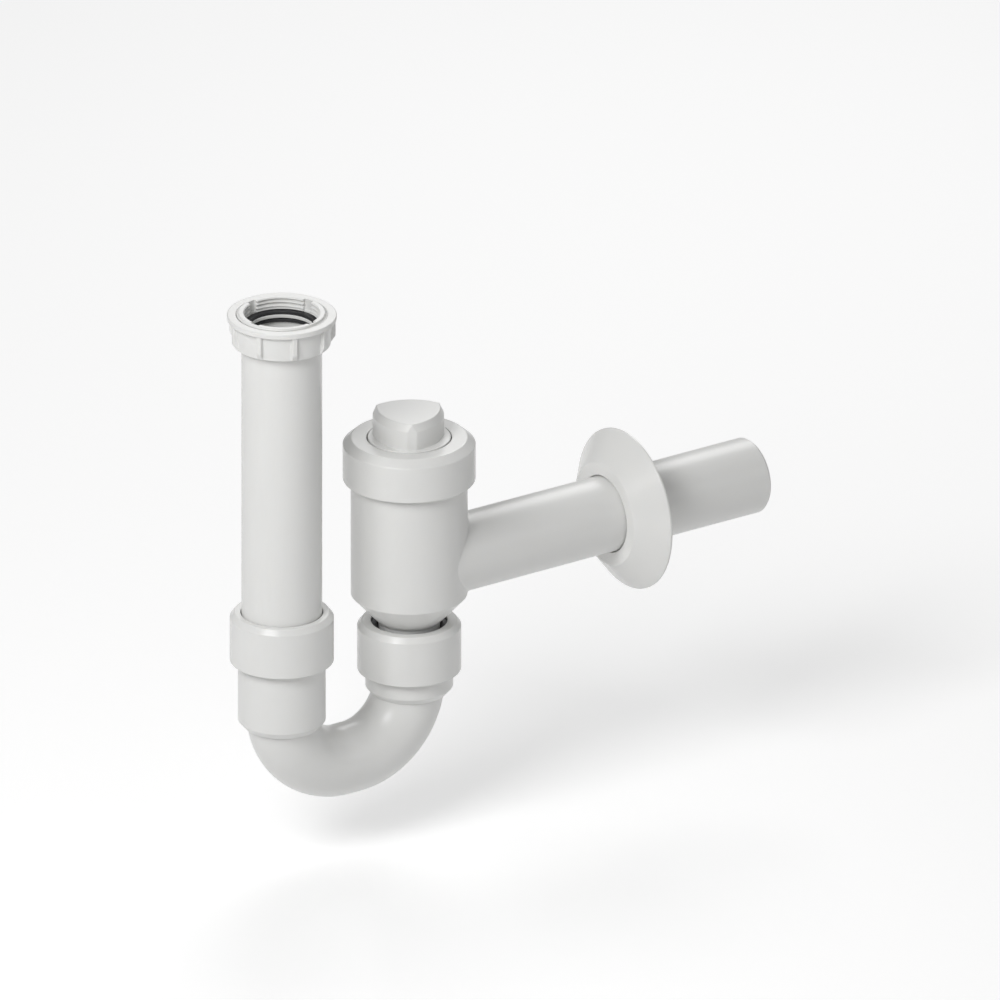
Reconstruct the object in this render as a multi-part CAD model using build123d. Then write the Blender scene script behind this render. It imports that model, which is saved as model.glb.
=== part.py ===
"""Tubular washbasin trap with a clean-out plug, in millimetres.

The outlet runs along +Y into the wall, whose finished face is the plane y = 0.
Z is up, and the outlet's axis is the line x = 0, z = 0.
The inlet, the bend and the outlet body have upright axes in one plane, 8 mm to the side of the outlet's
axis: the outlet leaves the barrel off its middle, nearly level with its side.
"""
import os
from math import cos, radians, sin

from build123d import *

# Layout
WALL_TO_BODY = 130.8
LEG_SPACING = 80.0
OUTLET_OFF_CENTRE = 8.0
BODY_X = -OUTLET_OFF_CENTRE
BODY_Y = -WALL_TO_BODY
INLET_Y = BODY_Y - LEG_SPACING

# Gap between a piece and one that moves past it, on the radius
PLAY = 0.3

# Inlet tube and its flange
TUBE_R = 21.0
TUBE_WALL = 2.0
TUBE_TOP = 145.3
TUBE_END = -52.1
TUBE_LEAD = 1.0
FLANGE_R = 22.9
FLANGE_THICK = 2.2

# Union nut: pipe thread of 47.8 mm, with nine grip ribs
NUT_TOP = 157.3
NUT_BOTTOM = 141.1
NUT_RIM_R = 28.5
NUT_RIM_THICK = 2.8
NUT_SKIRT_TOP_R = 26.3
NUT_SKIRT_FOOT_R = 25.4
NUT_UNDERCUT_R = 24.1
NUT_FLOOR = 2.0
UNION_THREAD_R = 23.3
UNION_THREAD_DEPTH = 6.8
UNION_MOUTH = 0.8
RIB_COUNT = 9
RIB_WIDTH = 2.9
RIB_R = 28.0
RIB_SLOPE = 3.6
RIB_ROOT_R = 24.8
FIRST_RIB_DEG = 20.0

# Gasket between the tube's flange and the adapter ring
UNION_GASKET_R = 23.4
UNION_GASKET_THICK = 2.6
UNION_GASKET_HOLE_R = 17.5
UNION_GASKET_BEVEL_R = 19.5
UNION_GASKET_BEVEL = 1.0

# Adapter ring: male thread of 47.8 mm outside, female thread of 41.9 mm inside
ADAPTER_HEIGHT = 10.4
ADAPTER_THREAD_R = 19.48
ADAPTER_RELIEF_R = 20.6
ADAPTER_LIP_R = 16.6
ADAPTER_LIP_THICK = 1.8
ADAPTER_WASHER_THICK = 1.8
ADAPTER_WASHER_HOLE_R = 16.9
ADAPTER_MOUTH_CHAMFER = 0.6
WASHER_ROOM = 0.4
SLOT_COUNT = 4
SLOT_WIDTH = 5.4
SLOT_DEPTH_R = 21.6
FIRST_SLOT_DEG = 14.0

# U-bend: two equal sockets joined by two elbows and a short level foot
BEND_R = 18.6
BEND_WALL = 2.1
ELBOW_R = 36.6
BEND_BOTTOM_Z = -102.3
SOCKET_R = 22.8
SOCKET_BORE_R = 21.3
SOCKET_FLOOR_Z = -67.1
SOCKET_FOOT_Z = -70.3
SOCKET_FOOT_CHAMFER_Z = -73.9
SOCKET_FOOT_CHAMFER_R = 19.7
HEAD_R = 25.2
HEAD_HEIGHT = 21.7
CHAMBER_R = 23.6
CHAMBER_DEPTH = 8.0

# Retaining caps, snapped over the heads of the sockets
CAP_R = 27.05
CAP_HEIGHT = 27.0
CAP_BEVEL_R = 24.6
CAP_BEVEL = 2.86
CAP_ROOF = 1.8
CAP_BORE_R = 25.4
CAP_BEAD_R = 23.6
CAP_BEAD = 1.2
CAP_MOUTH_R = 25.2
INLET_CAP_TOP = -10.2
OUTLET_CAP_TOP = -34.0
INLET_CAP_HOLE_R = TUBE_R + 0.4
OUTLET_CAP_HOLE_R = 19.8

# Lip seals: each lip's tip stands in from the ring's back, at a depth below the seal's top
SLIM_LIP = 0.7
SLIM_UPPER_LIP = (1.6, 2.6)
SLIM_WAIST_END = 4.4
SLIM_LOWER_LIP = (6.4, 7.2)
THICK_LIP = 0.9
THICK_UPPER_LIP = (1.8, 3.0)
THICK_WAIST_END = 6.0
THICK_LOWER_LIP = (8.6, 9.8)
THICK_SLEEVE_FOOT = 16.0
THICK_SLEEVE_WALLS = (1.4, 1.8)
THICK_GROOVE_TOP = 6.6
THICK_SKIRT_FOOT = 14.6
THICK_SKIRT_WALLS = (1.0, 1.4)

# Outlet body: barrel, cone foot, spigot and the outlet tube
BARREL_R = 30.35
BARREL_WALL = 2.5
BARREL_RIM_Z = 60.9
BARREL_THREAD_Z = 47.1
BARREL_THREAD_R = 31.7
CONE_TOP_Z = -18.7
CONE_FOOT_Z = -34.3
CONE_WALL = 2.3
SPIGOT_R = 16.0
SPIGOT_WALL = 2.0
SPIGOT_END_Z = -62.1
SPIGOT_LEAD = 2.0
OUTLET_R = 20.0
OUTLET_DRAFT_R = 20.3
OUTLET_WALL = 2.2
OUTLET_END_Y = 78.0
OUTLET_LEAD = 1.4
OUTLET_FILLET = 1.5
PARALLEL_FROM_Y = 1.0

# Clean-out cap, screwed on the barrel
LID_R = 34.55
LID_BOTTOM_Z = 45.8
LID_BEVEL_Z = 65.1
LID_TOP_Z = 68.8
LID_TOP_R = 30.2
LID_ROOF = 2.5
LID_BORE_R = 31.9
LID_MOUTH_R = 32.7
LID_SEAL_RIB_R = 27.6
LID_SEAL_THICK = 2.0
LID_SEAL_HOLE_R = 27.0
LID_SEAL_R = 31.5
LID_HOLE_R = 22.1
LID_HOLE_DEPTH = 3.3
LID_NECK_BORE_R = 20.2
LID_NECK_R = 22.6
LID_NECK_ROOT = 1.6
LID_NECK_FOOT_Z = 53.4

# Clean-out plug with a three-cornered grip
PLUG_DISC_R = 21.6
PLUG_DISC_TOP_Z = 69.2
PLUG_SEAL_THICK = 1.8
PLUG_SKIRT_R = 19.8
PLUG_SKIRT_WALL = 2.2
PLUG_SKIRT_FOOT_Z = 54.4
GRIP_TOP_Z = 83.5
GRIP_CORNER_R = 19.85
GRIP_SIDE_R = 17.0
GRIP_CORNER_WIDTH = 5.0
GRIP_BEVEL = 4.0
GRIP_BEVEL_IN = 2.0
GRIP_WALL = 2.4
FIRST_CORNER_DEG = 90.0

# Wall rosette, a hollow flared shell
ROSETTE_DEPTH = 13.9
ROSETTE_FACE_R = 27.35
ROSETTE_R = 42.8
ROSETTE_RIM = 1.2
ROSETTE_WALL = 1.6
ROSETTE_BORE_R = 20.6
ROSETTE_SLEEVE_WALL = 1.8
ROSETTE_SLEEVE = 7.9

# Worked out from the above
TUBE_BORE_R = TUBE_R - TUBE_WALL
GASKET_TOP = TUBE_TOP + UNION_GASKET_THICK
ADAPTER_TOP = GASKET_TOP + ADAPTER_HEIGHT
ADAPTER_SEAT = GASKET_TOP + ADAPTER_LIP_THICK
WASHER_TOP = ADAPTER_SEAT + ADAPTER_WASHER_THICK
PLUG_SEAT_Z = LID_TOP_Z - LID_HOLE_DEPTH
SMALL_CUT = 1.0


def turned(profile, y):
    """Turn a closed outline of (radius, height) points about the upright axis at y, in the legs' plane."""
    outline = Polyline([(r, 0, z) for r, z in profile], close=True)
    return Pos(BODY_X, y, 0) * revolve(make_face(outline), axis=Axis.Z)


def turned_on_outlet(profile):
    """Turn a closed outline of (radius, distance along Y) points about the outlet's axis."""
    outline = Polyline([(r, y, 0) for r, y in profile], close=True)
    return revolve(make_face(outline), axis=Axis.Y)


def disc_wheel(r, z_low, z_high, y):
    """A plain upright cylinder, used for bores."""
    return Pos(BODY_X, y, z_low) * Cylinder(
        r, z_high - z_low, align=(Align.CENTER, Align.CENTER, Align.MIN)
    )


def inlet_tube():
    """Plain drawn tube with a flange turned out at its top."""
    foot = TUBE_TOP - FLANGE_THICK
    return turned(
        [
            (TUBE_BORE_R, TUBE_END),
            (TUBE_R - TUBE_LEAD, TUBE_END),
            (TUBE_R, TUBE_END + TUBE_LEAD),
            (TUBE_R, foot),
            (FLANGE_R, foot),
            (FLANGE_R, TUBE_TOP),
            (TUBE_BORE_R, TUBE_TOP),
        ],
        INLET_Y,
    )


def union_gasket():
    """Flat rubber ring with a bevelled hole, lying on the tube's flange."""
    return turned(
        [
            (UNION_GASKET_HOLE_R, TUBE_TOP),
            (UNION_GASKET_R, TUBE_TOP),
            (UNION_GASKET_R, GASKET_TOP),
            (UNION_GASKET_BEVEL_R, GASKET_TOP),
            (UNION_GASKET_HOLE_R, GASKET_TOP - UNION_GASKET_BEVEL),
        ],
        INLET_Y,
    )


def union_nut():
    """Nut with a rim, nine ribs and a floor that hooks under the tube's flange."""
    thread_foot = NUT_TOP - UNION_THREAD_DEPTH
    shell = turned(
        [
            (TUBE_R + PLAY, NUT_BOTTOM),
            (NUT_SKIRT_FOOT_R, NUT_BOTTOM),
            (NUT_SKIRT_TOP_R, NUT_TOP - NUT_RIM_THICK),
            (NUT_RIM_R, NUT_TOP - NUT_RIM_THICK),
            (NUT_RIM_R, NUT_TOP),
            (UNION_THREAD_R + UNION_MOUTH, NUT_TOP),
            (UNION_THREAD_R, NUT_TOP - UNION_MOUTH),
            (UNION_THREAD_R, thread_foot),
            (NUT_UNDERCUT_R, thread_foot),
            (NUT_UNDERCUT_R, NUT_BOTTOM + NUT_FLOOR),
            (TUBE_R + PLAY, NUT_BOTTOM + NUT_FLOOR),
        ],
        INLET_Y,
    )
    side = Polyline(
        [
            (RIB_ROOT_R, 0, NUT_BOTTOM),
            (NUT_SKIRT_FOOT_R, 0, NUT_BOTTOM),
            (RIB_R, 0, NUT_BOTTOM + RIB_SLOPE),
            (RIB_R, 0, NUT_TOP - NUT_RIM_THICK),
            (RIB_ROOT_R, 0, NUT_TOP - NUT_RIM_THICK),
        ],
        close=True,
    )
    rib = extrude(make_face(side), amount=RIB_WIDTH / 2, dir=(0, 1, 0), both=True)
    for number in range(RIB_COUNT):
        turn = FIRST_RIB_DEG + number * 360 / RIB_COUNT
        shell += Pos(BODY_X, INLET_Y, 0) * Rot(0, 0, turn) * rib
    return shell


def adapter_ring():
    """Reducing ring: male thread outside, female thread inside, key slots and a lower lip."""
    thread_foot = WASHER_TOP + WASHER_ROOM
    ring = turned(
        [
            (ADAPTER_LIP_R, GASKET_TOP),
            (UNION_THREAD_R - PLAY, GASKET_TOP),
            (UNION_THREAD_R - PLAY, ADAPTER_TOP),
            (ADAPTER_THREAD_R + ADAPTER_MOUTH_CHAMFER, ADAPTER_TOP),
            (ADAPTER_THREAD_R, ADAPTER_TOP - ADAPTER_MOUTH_CHAMFER),
            (ADAPTER_THREAD_R, thread_foot),
            (ADAPTER_RELIEF_R, thread_foot),
            (ADAPTER_RELIEF_R, ADAPTER_SEAT),
            (ADAPTER_LIP_R, ADAPTER_SEAT),
        ],
        INLET_Y,
    )
    height = ADAPTER_TOP - thread_foot + SMALL_CUT
    for number in range(SLOT_COUNT):
        turn = FIRST_SLOT_DEG + number * 360 / SLOT_COUNT
        slot = Pos(ADAPTER_THREAD_R - SMALL_CUT, 0, thread_foot) * Box(
            SLOT_DEPTH_R - ADAPTER_THREAD_R + SMALL_CUT,
            SLOT_WIDTH,
            height,
            align=(Align.MIN, Align.CENTER, Align.MIN),
        )
        ring -= Pos(BODY_X, INLET_Y, 0) * Rot(0, 0, turn) * slot
    return ring


def adapter_gasket():
    """Flat washer on the adapter ring's lip, for the end of the basin's waste."""
    return turned(
        [
            (ADAPTER_WASHER_HOLE_R, ADAPTER_SEAT),
            (ADAPTER_RELIEF_R - PLAY, ADAPTER_SEAT),
            (ADAPTER_RELIEF_R - PLAY, WASHER_TOP),
            (ADAPTER_WASHER_HOLE_R, WASHER_TOP),
        ],
        INLET_Y,
    )


def socket_outside(head_top, y):
    """A socket's outer form: head, shoulder, plain leg and chamfered foot."""
    shoulder = head_top - HEAD_HEIGHT
    return turned(
        [
            (0, SOCKET_FOOT_CHAMFER_Z),
            (SOCKET_FOOT_CHAMFER_R, SOCKET_FOOT_CHAMFER_Z),
            (SOCKET_R, SOCKET_FOOT_Z),
            (SOCKET_R, shoulder),
            (HEAD_R, shoulder),
            (HEAD_R, head_top),
            (0, head_top),
        ],
        y,
    )


def bend_bar(r):
    """A round bar along the bend's line: down an elbow, along the level foot and up the other elbow."""
    elbow_z = BEND_BOTTOM_Z + ELBOW_R
    foot_length = LEG_SPACING - 2 * ELBOW_R
    down = revolve(
        Plane((BODY_X, INLET_Y, elbow_z)) * Circle(r),
        axis=Axis((BODY_X, INLET_Y + ELBOW_R, elbow_z), (1, 0, 0)),
        revolution_arc=90,
    )
    up_start = Plane((BODY_X, BODY_Y - ELBOW_R, BEND_BOTTOM_Z), z_dir=(0, 1, 0))
    up = revolve(
        up_start * Circle(r),
        axis=Axis((BODY_X, BODY_Y - ELBOW_R, elbow_z), (1, 0, 0)),
        revolution_arc=90,
    )
    foot = extrude(up_start * Circle(r), amount=-foot_length)
    return down + foot + up


def u_bend():
    """Moulded bend: two elbows and a short foot between two sockets with seal chambers."""
    bend = bend_bar(BEND_R)
    for cap_top, y in ((INLET_CAP_TOP, INLET_Y), (OUTLET_CAP_TOP, BODY_Y)):
        head_top = cap_top - CAP_ROOF
        bend += socket_outside(head_top, y)
    for cap_top, y in ((INLET_CAP_TOP, INLET_Y), (OUTLET_CAP_TOP, BODY_Y)):
        head_top = cap_top - CAP_ROOF
        bend -= disc_wheel(SOCKET_BORE_R, SOCKET_FLOOR_Z, head_top + SMALL_CUT, y)
        bend -= disc_wheel(CHAMBER_R, head_top - CHAMBER_DEPTH, head_top + SMALL_CUT, y)
    return bend - bend_bar(BEND_R - BEND_WALL)


def retaining_cap(cap_top, hole_r, y):
    """Smooth cap that holds a lip seal in, snapped under the head's shoulder."""
    roof = cap_top - CAP_ROOF
    shoulder = roof - HEAD_HEIGHT
    foot = cap_top - CAP_HEIGHT
    return turned(
        [
            (hole_r, cap_top),
            (CAP_BEVEL_R, cap_top),
            (CAP_R, cap_top - CAP_BEVEL),
            (CAP_R, foot),
            (CAP_MOUTH_R, foot),
            (CAP_BEAD_R, shoulder - CAP_BEAD),
            (CAP_BEAD_R, shoulder),
            (CAP_BORE_R, shoulder),
            (CAP_BORE_R, roof),
            (hole_r, roof),
        ],
        y,
    )


def inlet_lip_seal():
    """Slim rubber ring with two lips, round the inlet tube."""
    top = INLET_CAP_TOP - CAP_ROOF
    outside = CHAMBER_R - PLAY
    lip = TUBE_R + PLAY
    back = lip + SLIM_LIP
    return turned(
        [
            (outside, top),
            (back, top),
            (lip, top - SLIM_UPPER_LIP[0]),
            (back, top - SLIM_UPPER_LIP[1]),
            (back, top - SLIM_WAIST_END),
            (lip, top - SLIM_LOWER_LIP[0]),
            (back, top - SLIM_LOWER_LIP[1]),
            (back, top - CHAMBER_DEPTH),
            (outside, top - CHAMBER_DEPTH),
        ],
        INLET_Y,
    )


def outlet_lip_seal():
    """Reducing seal: a thick rubber ring with an inner sleeve on the spigot and an outer skirt."""
    top = OUTLET_CAP_TOP - CAP_ROOF
    seat = top - CHAMBER_DEPTH
    outside = CHAMBER_R - PLAY
    skirt = SOCKET_BORE_R - PLAY
    lip = SPIGOT_R + PLAY
    back = lip + THICK_LIP
    return turned(
        [
            (outside, top),
            (back, top),
            (lip, top - THICK_UPPER_LIP[0]),
            (back, top - THICK_UPPER_LIP[1]),
            (back, top - THICK_WAIST_END),
            (lip, top - THICK_LOWER_LIP[0]),
            (back, top - THICK_LOWER_LIP[1]),
            (back, top - THICK_SLEEVE_FOOT),
            (back + THICK_SLEEVE_WALLS[0], top - THICK_SLEEVE_FOOT),
            (back + THICK_SLEEVE_WALLS[1], top - THICK_GROOVE_TOP),
            (skirt - THICK_SKIRT_WALLS[1], top - THICK_GROOVE_TOP),
            (skirt - THICK_SKIRT_WALLS[0], top - THICK_SKIRT_FOOT),
            (skirt, top - THICK_SKIRT_FOOT),
            (skirt, seat),
            (outside, seat),
        ],
        BODY_Y,
    )


def outlet_body():
    """One moulding: threaded barrel, cone foot with its spigot, and the outlet tube."""
    outside = turned(
        [
            (0, SPIGOT_END_Z),
            (SPIGOT_R - SPIGOT_WALL / 2, SPIGOT_END_Z),
            (SPIGOT_R, SPIGOT_END_Z + SPIGOT_LEAD),
            (SPIGOT_R, CONE_FOOT_Z),
            (BARREL_R, CONE_TOP_Z),
            (BARREL_R, BARREL_THREAD_Z),
            (BARREL_THREAD_R, BARREL_THREAD_Z + BARREL_THREAD_R - BARREL_R),
            (BARREL_THREAD_R, BARREL_RIM_Z),
            (0, BARREL_RIM_Z),
        ],
        BODY_Y,
    )
    outside += turned_on_outlet(
        [
            (0, BODY_Y),
            (OUTLET_DRAFT_R, BODY_Y),
            (OUTLET_R, PARALLEL_FROM_Y),
            (OUTLET_R, OUTLET_END_Y - OUTLET_LEAD),
            (OUTLET_R - OUTLET_WALL / 2, OUTLET_END_Y),
            (0, OUTLET_END_Y),
        ]
    )
    plain_kinds = (GeomType.LINE, GeomType.CIRCLE)
    junction = [edge for edge in outside.edges() if edge.geom_type not in plain_kinds]
    outside = fillet(junction, OUTLET_FILLET)
    slope = (BARREL_R - SPIGOT_R) / (CONE_TOP_Z - CONE_FOOT_Z)
    shift = CONE_WALL * (1 + slope**2) ** 0.5
    barrel_bore = BARREL_R - BARREL_WALL
    spigot_bore = SPIGOT_R - SPIGOT_WALL
    bore_cone_top = CONE_TOP_Z + (barrel_bore + shift - BARREL_R) / slope
    bore_cone_foot = CONE_TOP_Z + (spigot_bore + shift - BARREL_R) / slope
    inside = turned(
        [
            (0, SPIGOT_END_Z - SMALL_CUT),
            (spigot_bore, SPIGOT_END_Z - SMALL_CUT),
            (spigot_bore, bore_cone_foot),
            (barrel_bore, bore_cone_top),
            (barrel_bore, BARREL_RIM_Z + SMALL_CUT),
            (0, BARREL_RIM_Z + SMALL_CUT),
        ],
        BODY_Y,
    )
    outlet_bore = OUTLET_R - OUTLET_WALL
    inside += turned_on_outlet(
        [
            (0, BODY_Y),
            (outlet_bore, BODY_Y),
            (outlet_bore, OUTLET_END_Y + SMALL_CUT),
            (0, OUTLET_END_Y + SMALL_CUT),
        ]
    )
    return outside - inside


def clean_out_cap():
    """Screwed cap with a bevelled top, a seal rib and a threaded neck for the plug."""
    seal_top = BARREL_RIM_Z + LID_SEAL_THICK
    return turned(
        [
            (LID_MOUTH_R, LID_BOTTOM_Z),
            (LID_R, LID_BOTTOM_Z),
            (LID_R, LID_BEVEL_Z),
            (LID_TOP_R, LID_TOP_Z),
            (LID_HOLE_R, LID_TOP_Z),
            (LID_HOLE_R, PLUG_SEAT_Z),
            (LID_NECK_BORE_R, PLUG_SEAT_Z),
            (LID_NECK_BORE_R, LID_NECK_FOOT_Z),
            (LID_NECK_R, LID_NECK_FOOT_Z),
            (LID_NECK_R, LID_TOP_Z - LID_ROOF - LID_NECK_ROOT),
            (LID_NECK_R + LID_NECK_ROOT, LID_TOP_Z - LID_ROOF),
            (LID_SEAL_RIB_R, LID_TOP_Z - LID_ROOF),
            (LID_SEAL_RIB_R, seal_top),
            (LID_BORE_R, seal_top),
            (LID_BORE_R, LID_BOTTOM_Z + LID_MOUTH_R - LID_BORE_R),
        ],
        BODY_Y,
    )


def cap_seal():
    """Flat rubber ring between the barrel's rim and the cap."""
    return turned(
        [
            (LID_SEAL_HOLE_R, BARREL_RIM_Z),
            (LID_SEAL_R, BARREL_RIM_Z),
            (LID_SEAL_R, BARREL_RIM_Z + LID_SEAL_THICK),
            (LID_SEAL_HOLE_R, BARREL_RIM_Z + LID_SEAL_THICK),
        ],
        BODY_Y,
    )


def plug_seal():
    """Flat rubber ring under the plug's disc."""
    return turned(
        [
            (PLUG_SKIRT_R + PLAY, PLUG_SEAT_Z),
            (LID_HOLE_R - PLAY, PLUG_SEAT_Z),
            (LID_HOLE_R - PLAY, PLUG_SEAT_Z + PLUG_SEAL_THICK),
            (PLUG_SKIRT_R + PLAY, PLUG_SEAT_Z + PLUG_SEAL_THICK),
        ],
        BODY_Y,
    )


def grip_outline(corner_r, side_r, corner_width):
    """Three bulging sides, as arcs, joined by three narrow flat corners."""
    half = corner_width / 2
    corners = []
    for number in range(3):
        turn = radians(FIRST_CORNER_DEG + number * 120)
        out = (cos(turn), sin(turn))
        along = (-sin(turn), cos(turn))
        corners.append(
            [
                (corner_r * out[0] + s * half * along[0], corner_r * out[1] + s * half * along[1])
                for s in (-1, 1)
            ]
        )
    edges = []
    for number in range(3):
        turn = radians(FIRST_CORNER_DEG + 60 + number * 120)
        middle = (side_r * cos(turn), side_r * sin(turn))
        before, after = corners[number], corners[(number + 1) % 3]
        edges.append(Line(before[0], before[1]))
        edges.append(ThreePointArc(before[1], middle, after[0]))
    return make_face(edges)


def clean_out_plug():
    """Plug: threaded skirt, disc and a hollow three-cornered grip to turn it by."""
    disc_foot = PLUG_SEAT_Z + PLUG_SEAL_THICK
    skirt_bore = PLUG_SKIRT_R - PLUG_SKIRT_WALL
    base = turned(
        [
            (0, PLUG_SKIRT_FOOT_Z),
            (PLUG_SKIRT_R, PLUG_SKIRT_FOOT_Z),
            (PLUG_SKIRT_R, disc_foot),
            (PLUG_DISC_R, disc_foot),
            (PLUG_DISC_R, PLUG_DISC_TOP_Z),
            (0, PLUG_DISC_TOP_Z),
        ],
        BODY_Y,
    )
    outline = grip_outline(GRIP_CORNER_R, GRIP_SIDE_R, GRIP_CORNER_WIDTH)
    grip = Pos(BODY_X, BODY_Y, disc_foot) * extrude(outline, amount=GRIP_TOP_Z - disc_foot)
    top = grip.faces().sort_by(Axis.Z)[-1]
    grip = chamfer(top.edges(), length=GRIP_BEVEL_IN, length2=GRIP_BEVEL, reference=top)
    hollow_outline = grip_outline(
        GRIP_CORNER_R - GRIP_WALL - GRIP_BEVEL_IN,
        GRIP_SIDE_R - GRIP_WALL - GRIP_BEVEL_IN / 2,
        GRIP_CORNER_WIDTH,
    )
    hollow = Pos(BODY_X, BODY_Y, disc_foot - SMALL_CUT) * extrude(
        hollow_outline, amount=GRIP_TOP_Z - GRIP_WALL - disc_foot + SMALL_CUT
    )
    skirt_hollow = disc_wheel(skirt_bore, PLUG_SKIRT_FOOT_Z - SMALL_CUT, disc_foot, BODY_Y)
    return base + grip - hollow - skirt_hollow


def wall_rosette():
    """Flared hollow plate that hides the hole in the wall, with a sleeve round the outlet."""
    flare_in = ROSETTE_R - ROSETTE_WALL
    sleeve_r = ROSETTE_BORE_R + ROSETTE_SLEEVE_WALL
    return turned_on_outlet(
        [
            (ROSETTE_BORE_R, -ROSETTE_DEPTH),
            (ROSETTE_FACE_R, -ROSETTE_DEPTH),
            (ROSETTE_R, -ROSETTE_RIM),
            (ROSETTE_R, 0),
            (flare_in, 0),
            (flare_in, -ROSETTE_RIM),
            (ROSETTE_FACE_R - ROSETTE_WALL / 2, ROSETTE_WALL - ROSETTE_DEPTH),
            (sleeve_r, ROSETTE_WALL - ROSETTE_DEPTH),
            (sleeve_r, ROSETTE_SLEEVE - ROSETTE_DEPTH),
            (ROSETTE_BORE_R, ROSETTE_SLEEVE - ROSETTE_DEPTH),
        ]
    )


PARTS = {
    "adapter_ring": adapter_ring(),
    "adapter_gasket": adapter_gasket(),
    "union_nut": union_nut(),
    "union_gasket": union_gasket(),
    "inlet_tube": inlet_tube(),
    "inlet_retaining_cap": retaining_cap(INLET_CAP_TOP, INLET_CAP_HOLE_R, INLET_Y),
    "inlet_lip_seal": inlet_lip_seal(),
    "u_bend": u_bend(),
    "outlet_retaining_cap": retaining_cap(OUTLET_CAP_TOP, OUTLET_CAP_HOLE_R, BODY_Y),
    "outlet_lip_seal": outlet_lip_seal(),
    "outlet_body": outlet_body(),
    "clean_out_cap": clean_out_cap(),
    "cap_seal": cap_seal(),
    "clean_out_plug": clean_out_plug(),
    "plug_seal": plug_seal(),
    "wall_rosette": wall_rosette(),
}

os.makedirs("parts", exist_ok=True)
for name, solid in PARTS.items():
    export_step(solid, f"parts/{name}.step")
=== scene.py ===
"""Tubular washbasin trap: the look of every piece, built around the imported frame.

Sizes of pieces are in millimetres, and closed_piece() turns them into metres. The outlet runs along +Y
into the wall on the line x = 0, z = 0. Every upright piece is turned about the barrel's or the inlet's
line, in one plane that stands 8 mm to the side of the outlet.
"""

import math

import bpy
import numpy as np
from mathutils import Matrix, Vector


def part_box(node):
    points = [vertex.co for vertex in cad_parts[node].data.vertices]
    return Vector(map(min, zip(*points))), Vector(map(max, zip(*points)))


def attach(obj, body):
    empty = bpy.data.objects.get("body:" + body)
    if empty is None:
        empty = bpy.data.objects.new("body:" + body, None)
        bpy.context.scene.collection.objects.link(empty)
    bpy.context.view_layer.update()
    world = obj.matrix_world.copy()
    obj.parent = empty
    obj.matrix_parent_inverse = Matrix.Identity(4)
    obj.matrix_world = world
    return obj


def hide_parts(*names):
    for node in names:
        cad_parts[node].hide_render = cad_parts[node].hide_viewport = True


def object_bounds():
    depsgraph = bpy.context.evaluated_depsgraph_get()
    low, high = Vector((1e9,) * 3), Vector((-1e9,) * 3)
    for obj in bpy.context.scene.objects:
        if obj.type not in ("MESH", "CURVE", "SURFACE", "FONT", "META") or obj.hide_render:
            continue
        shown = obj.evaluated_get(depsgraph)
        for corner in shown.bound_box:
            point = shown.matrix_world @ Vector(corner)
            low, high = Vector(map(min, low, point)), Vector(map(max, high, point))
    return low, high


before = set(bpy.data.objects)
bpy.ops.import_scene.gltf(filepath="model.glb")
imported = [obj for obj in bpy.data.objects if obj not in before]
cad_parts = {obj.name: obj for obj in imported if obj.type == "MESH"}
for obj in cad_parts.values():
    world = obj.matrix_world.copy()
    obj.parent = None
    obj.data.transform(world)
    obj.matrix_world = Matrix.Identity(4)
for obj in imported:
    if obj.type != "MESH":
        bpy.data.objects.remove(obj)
CAD_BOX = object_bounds()

# Camera: the picture is a true orthographic view, seen from the +X and -Y side and from above.
# The named pixel is where the barrel's line comes level with the outlet, in a picture of 1000 by 1000.
PICTURE_SIDE = 1000
PIXELS_PER_METRE = 1930
VIEW_TURN = math.radians(55.6)
VIEW_RISE = math.radians(23.1)
CROSSING_PIXEL = (409.2, 566.1)
CROSSING_PLACE = np.array([-0.008, -0.1308, -0.0041])
CAMERA_DISTANCE = 2.0


def axes_at(turn, rise):
    """Right, up and back of a thing that looks at the object from a turn off the -Y side, and from a rise."""
    right = np.array([math.cos(turn), math.sin(turn), 0])
    back = np.array([math.sin(turn) * math.cos(rise), -math.cos(turn) * math.cos(rise), math.sin(rise)])
    return right, np.cross(back, right), back


def stand(thing, turn, rise, distance):
    """Put a camera or a lamp into the scene at a distance from the view's centre, facing it."""
    matrix = np.eye(4)
    matrix[:3, :3] = np.column_stack(axes_at(turn, rise))
    matrix[:3, 3] = view_centre + matrix[:3, 2] * distance
    thing.matrix_world = matrix.T.tolist()
    bpy.context.scene.collection.objects.link(thing)


view_right, view_up, _ = axes_at(VIEW_TURN, VIEW_RISE)
to_centre_right = (PICTURE_SIDE / 2 - CROSSING_PIXEL[0]) / PIXELS_PER_METRE
to_centre_up = (CROSSING_PIXEL[1] - PICTURE_SIDE / 2) / PIXELS_PER_METRE
view_centre = CROSSING_PLACE + view_right * to_centre_right + view_up * to_centre_up

camera_data = bpy.data.cameras.new("camera")
camera_data.type = "ORTHO"
camera_data.ortho_scale = PICTURE_SIDE / PIXELS_PER_METRE
camera_data.clip_end = 10
camera = bpy.data.objects.new("camera", camera_data)
stand(camera, VIEW_TURN, VIEW_RISE, CAMERA_DISTANCE)
bpy.context.scene.camera = camera
bpy.context.scene.view_settings.view_transform = "Standard"

# Light: a large softbox above and to the left of the camera, a weak one to its right, one behind for
# the rims, and an even pale world. Together they show a colour about as it is written.
LAMPS = {
    "key_softbox": {"turn": 22, "rise": 40, "size": 0.7, "watts": 14.5},
    "side_softbox": {"turn": 118, "rise": 22, "size": 0.8, "watts": 1.2},
    "back_softbox": {"turn": 228, "rise": 40, "size": 0.8, "watts": 7.0},
}
LAMP_DISTANCE = 1.6
WORLD_LEVEL = 0.29

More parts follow.
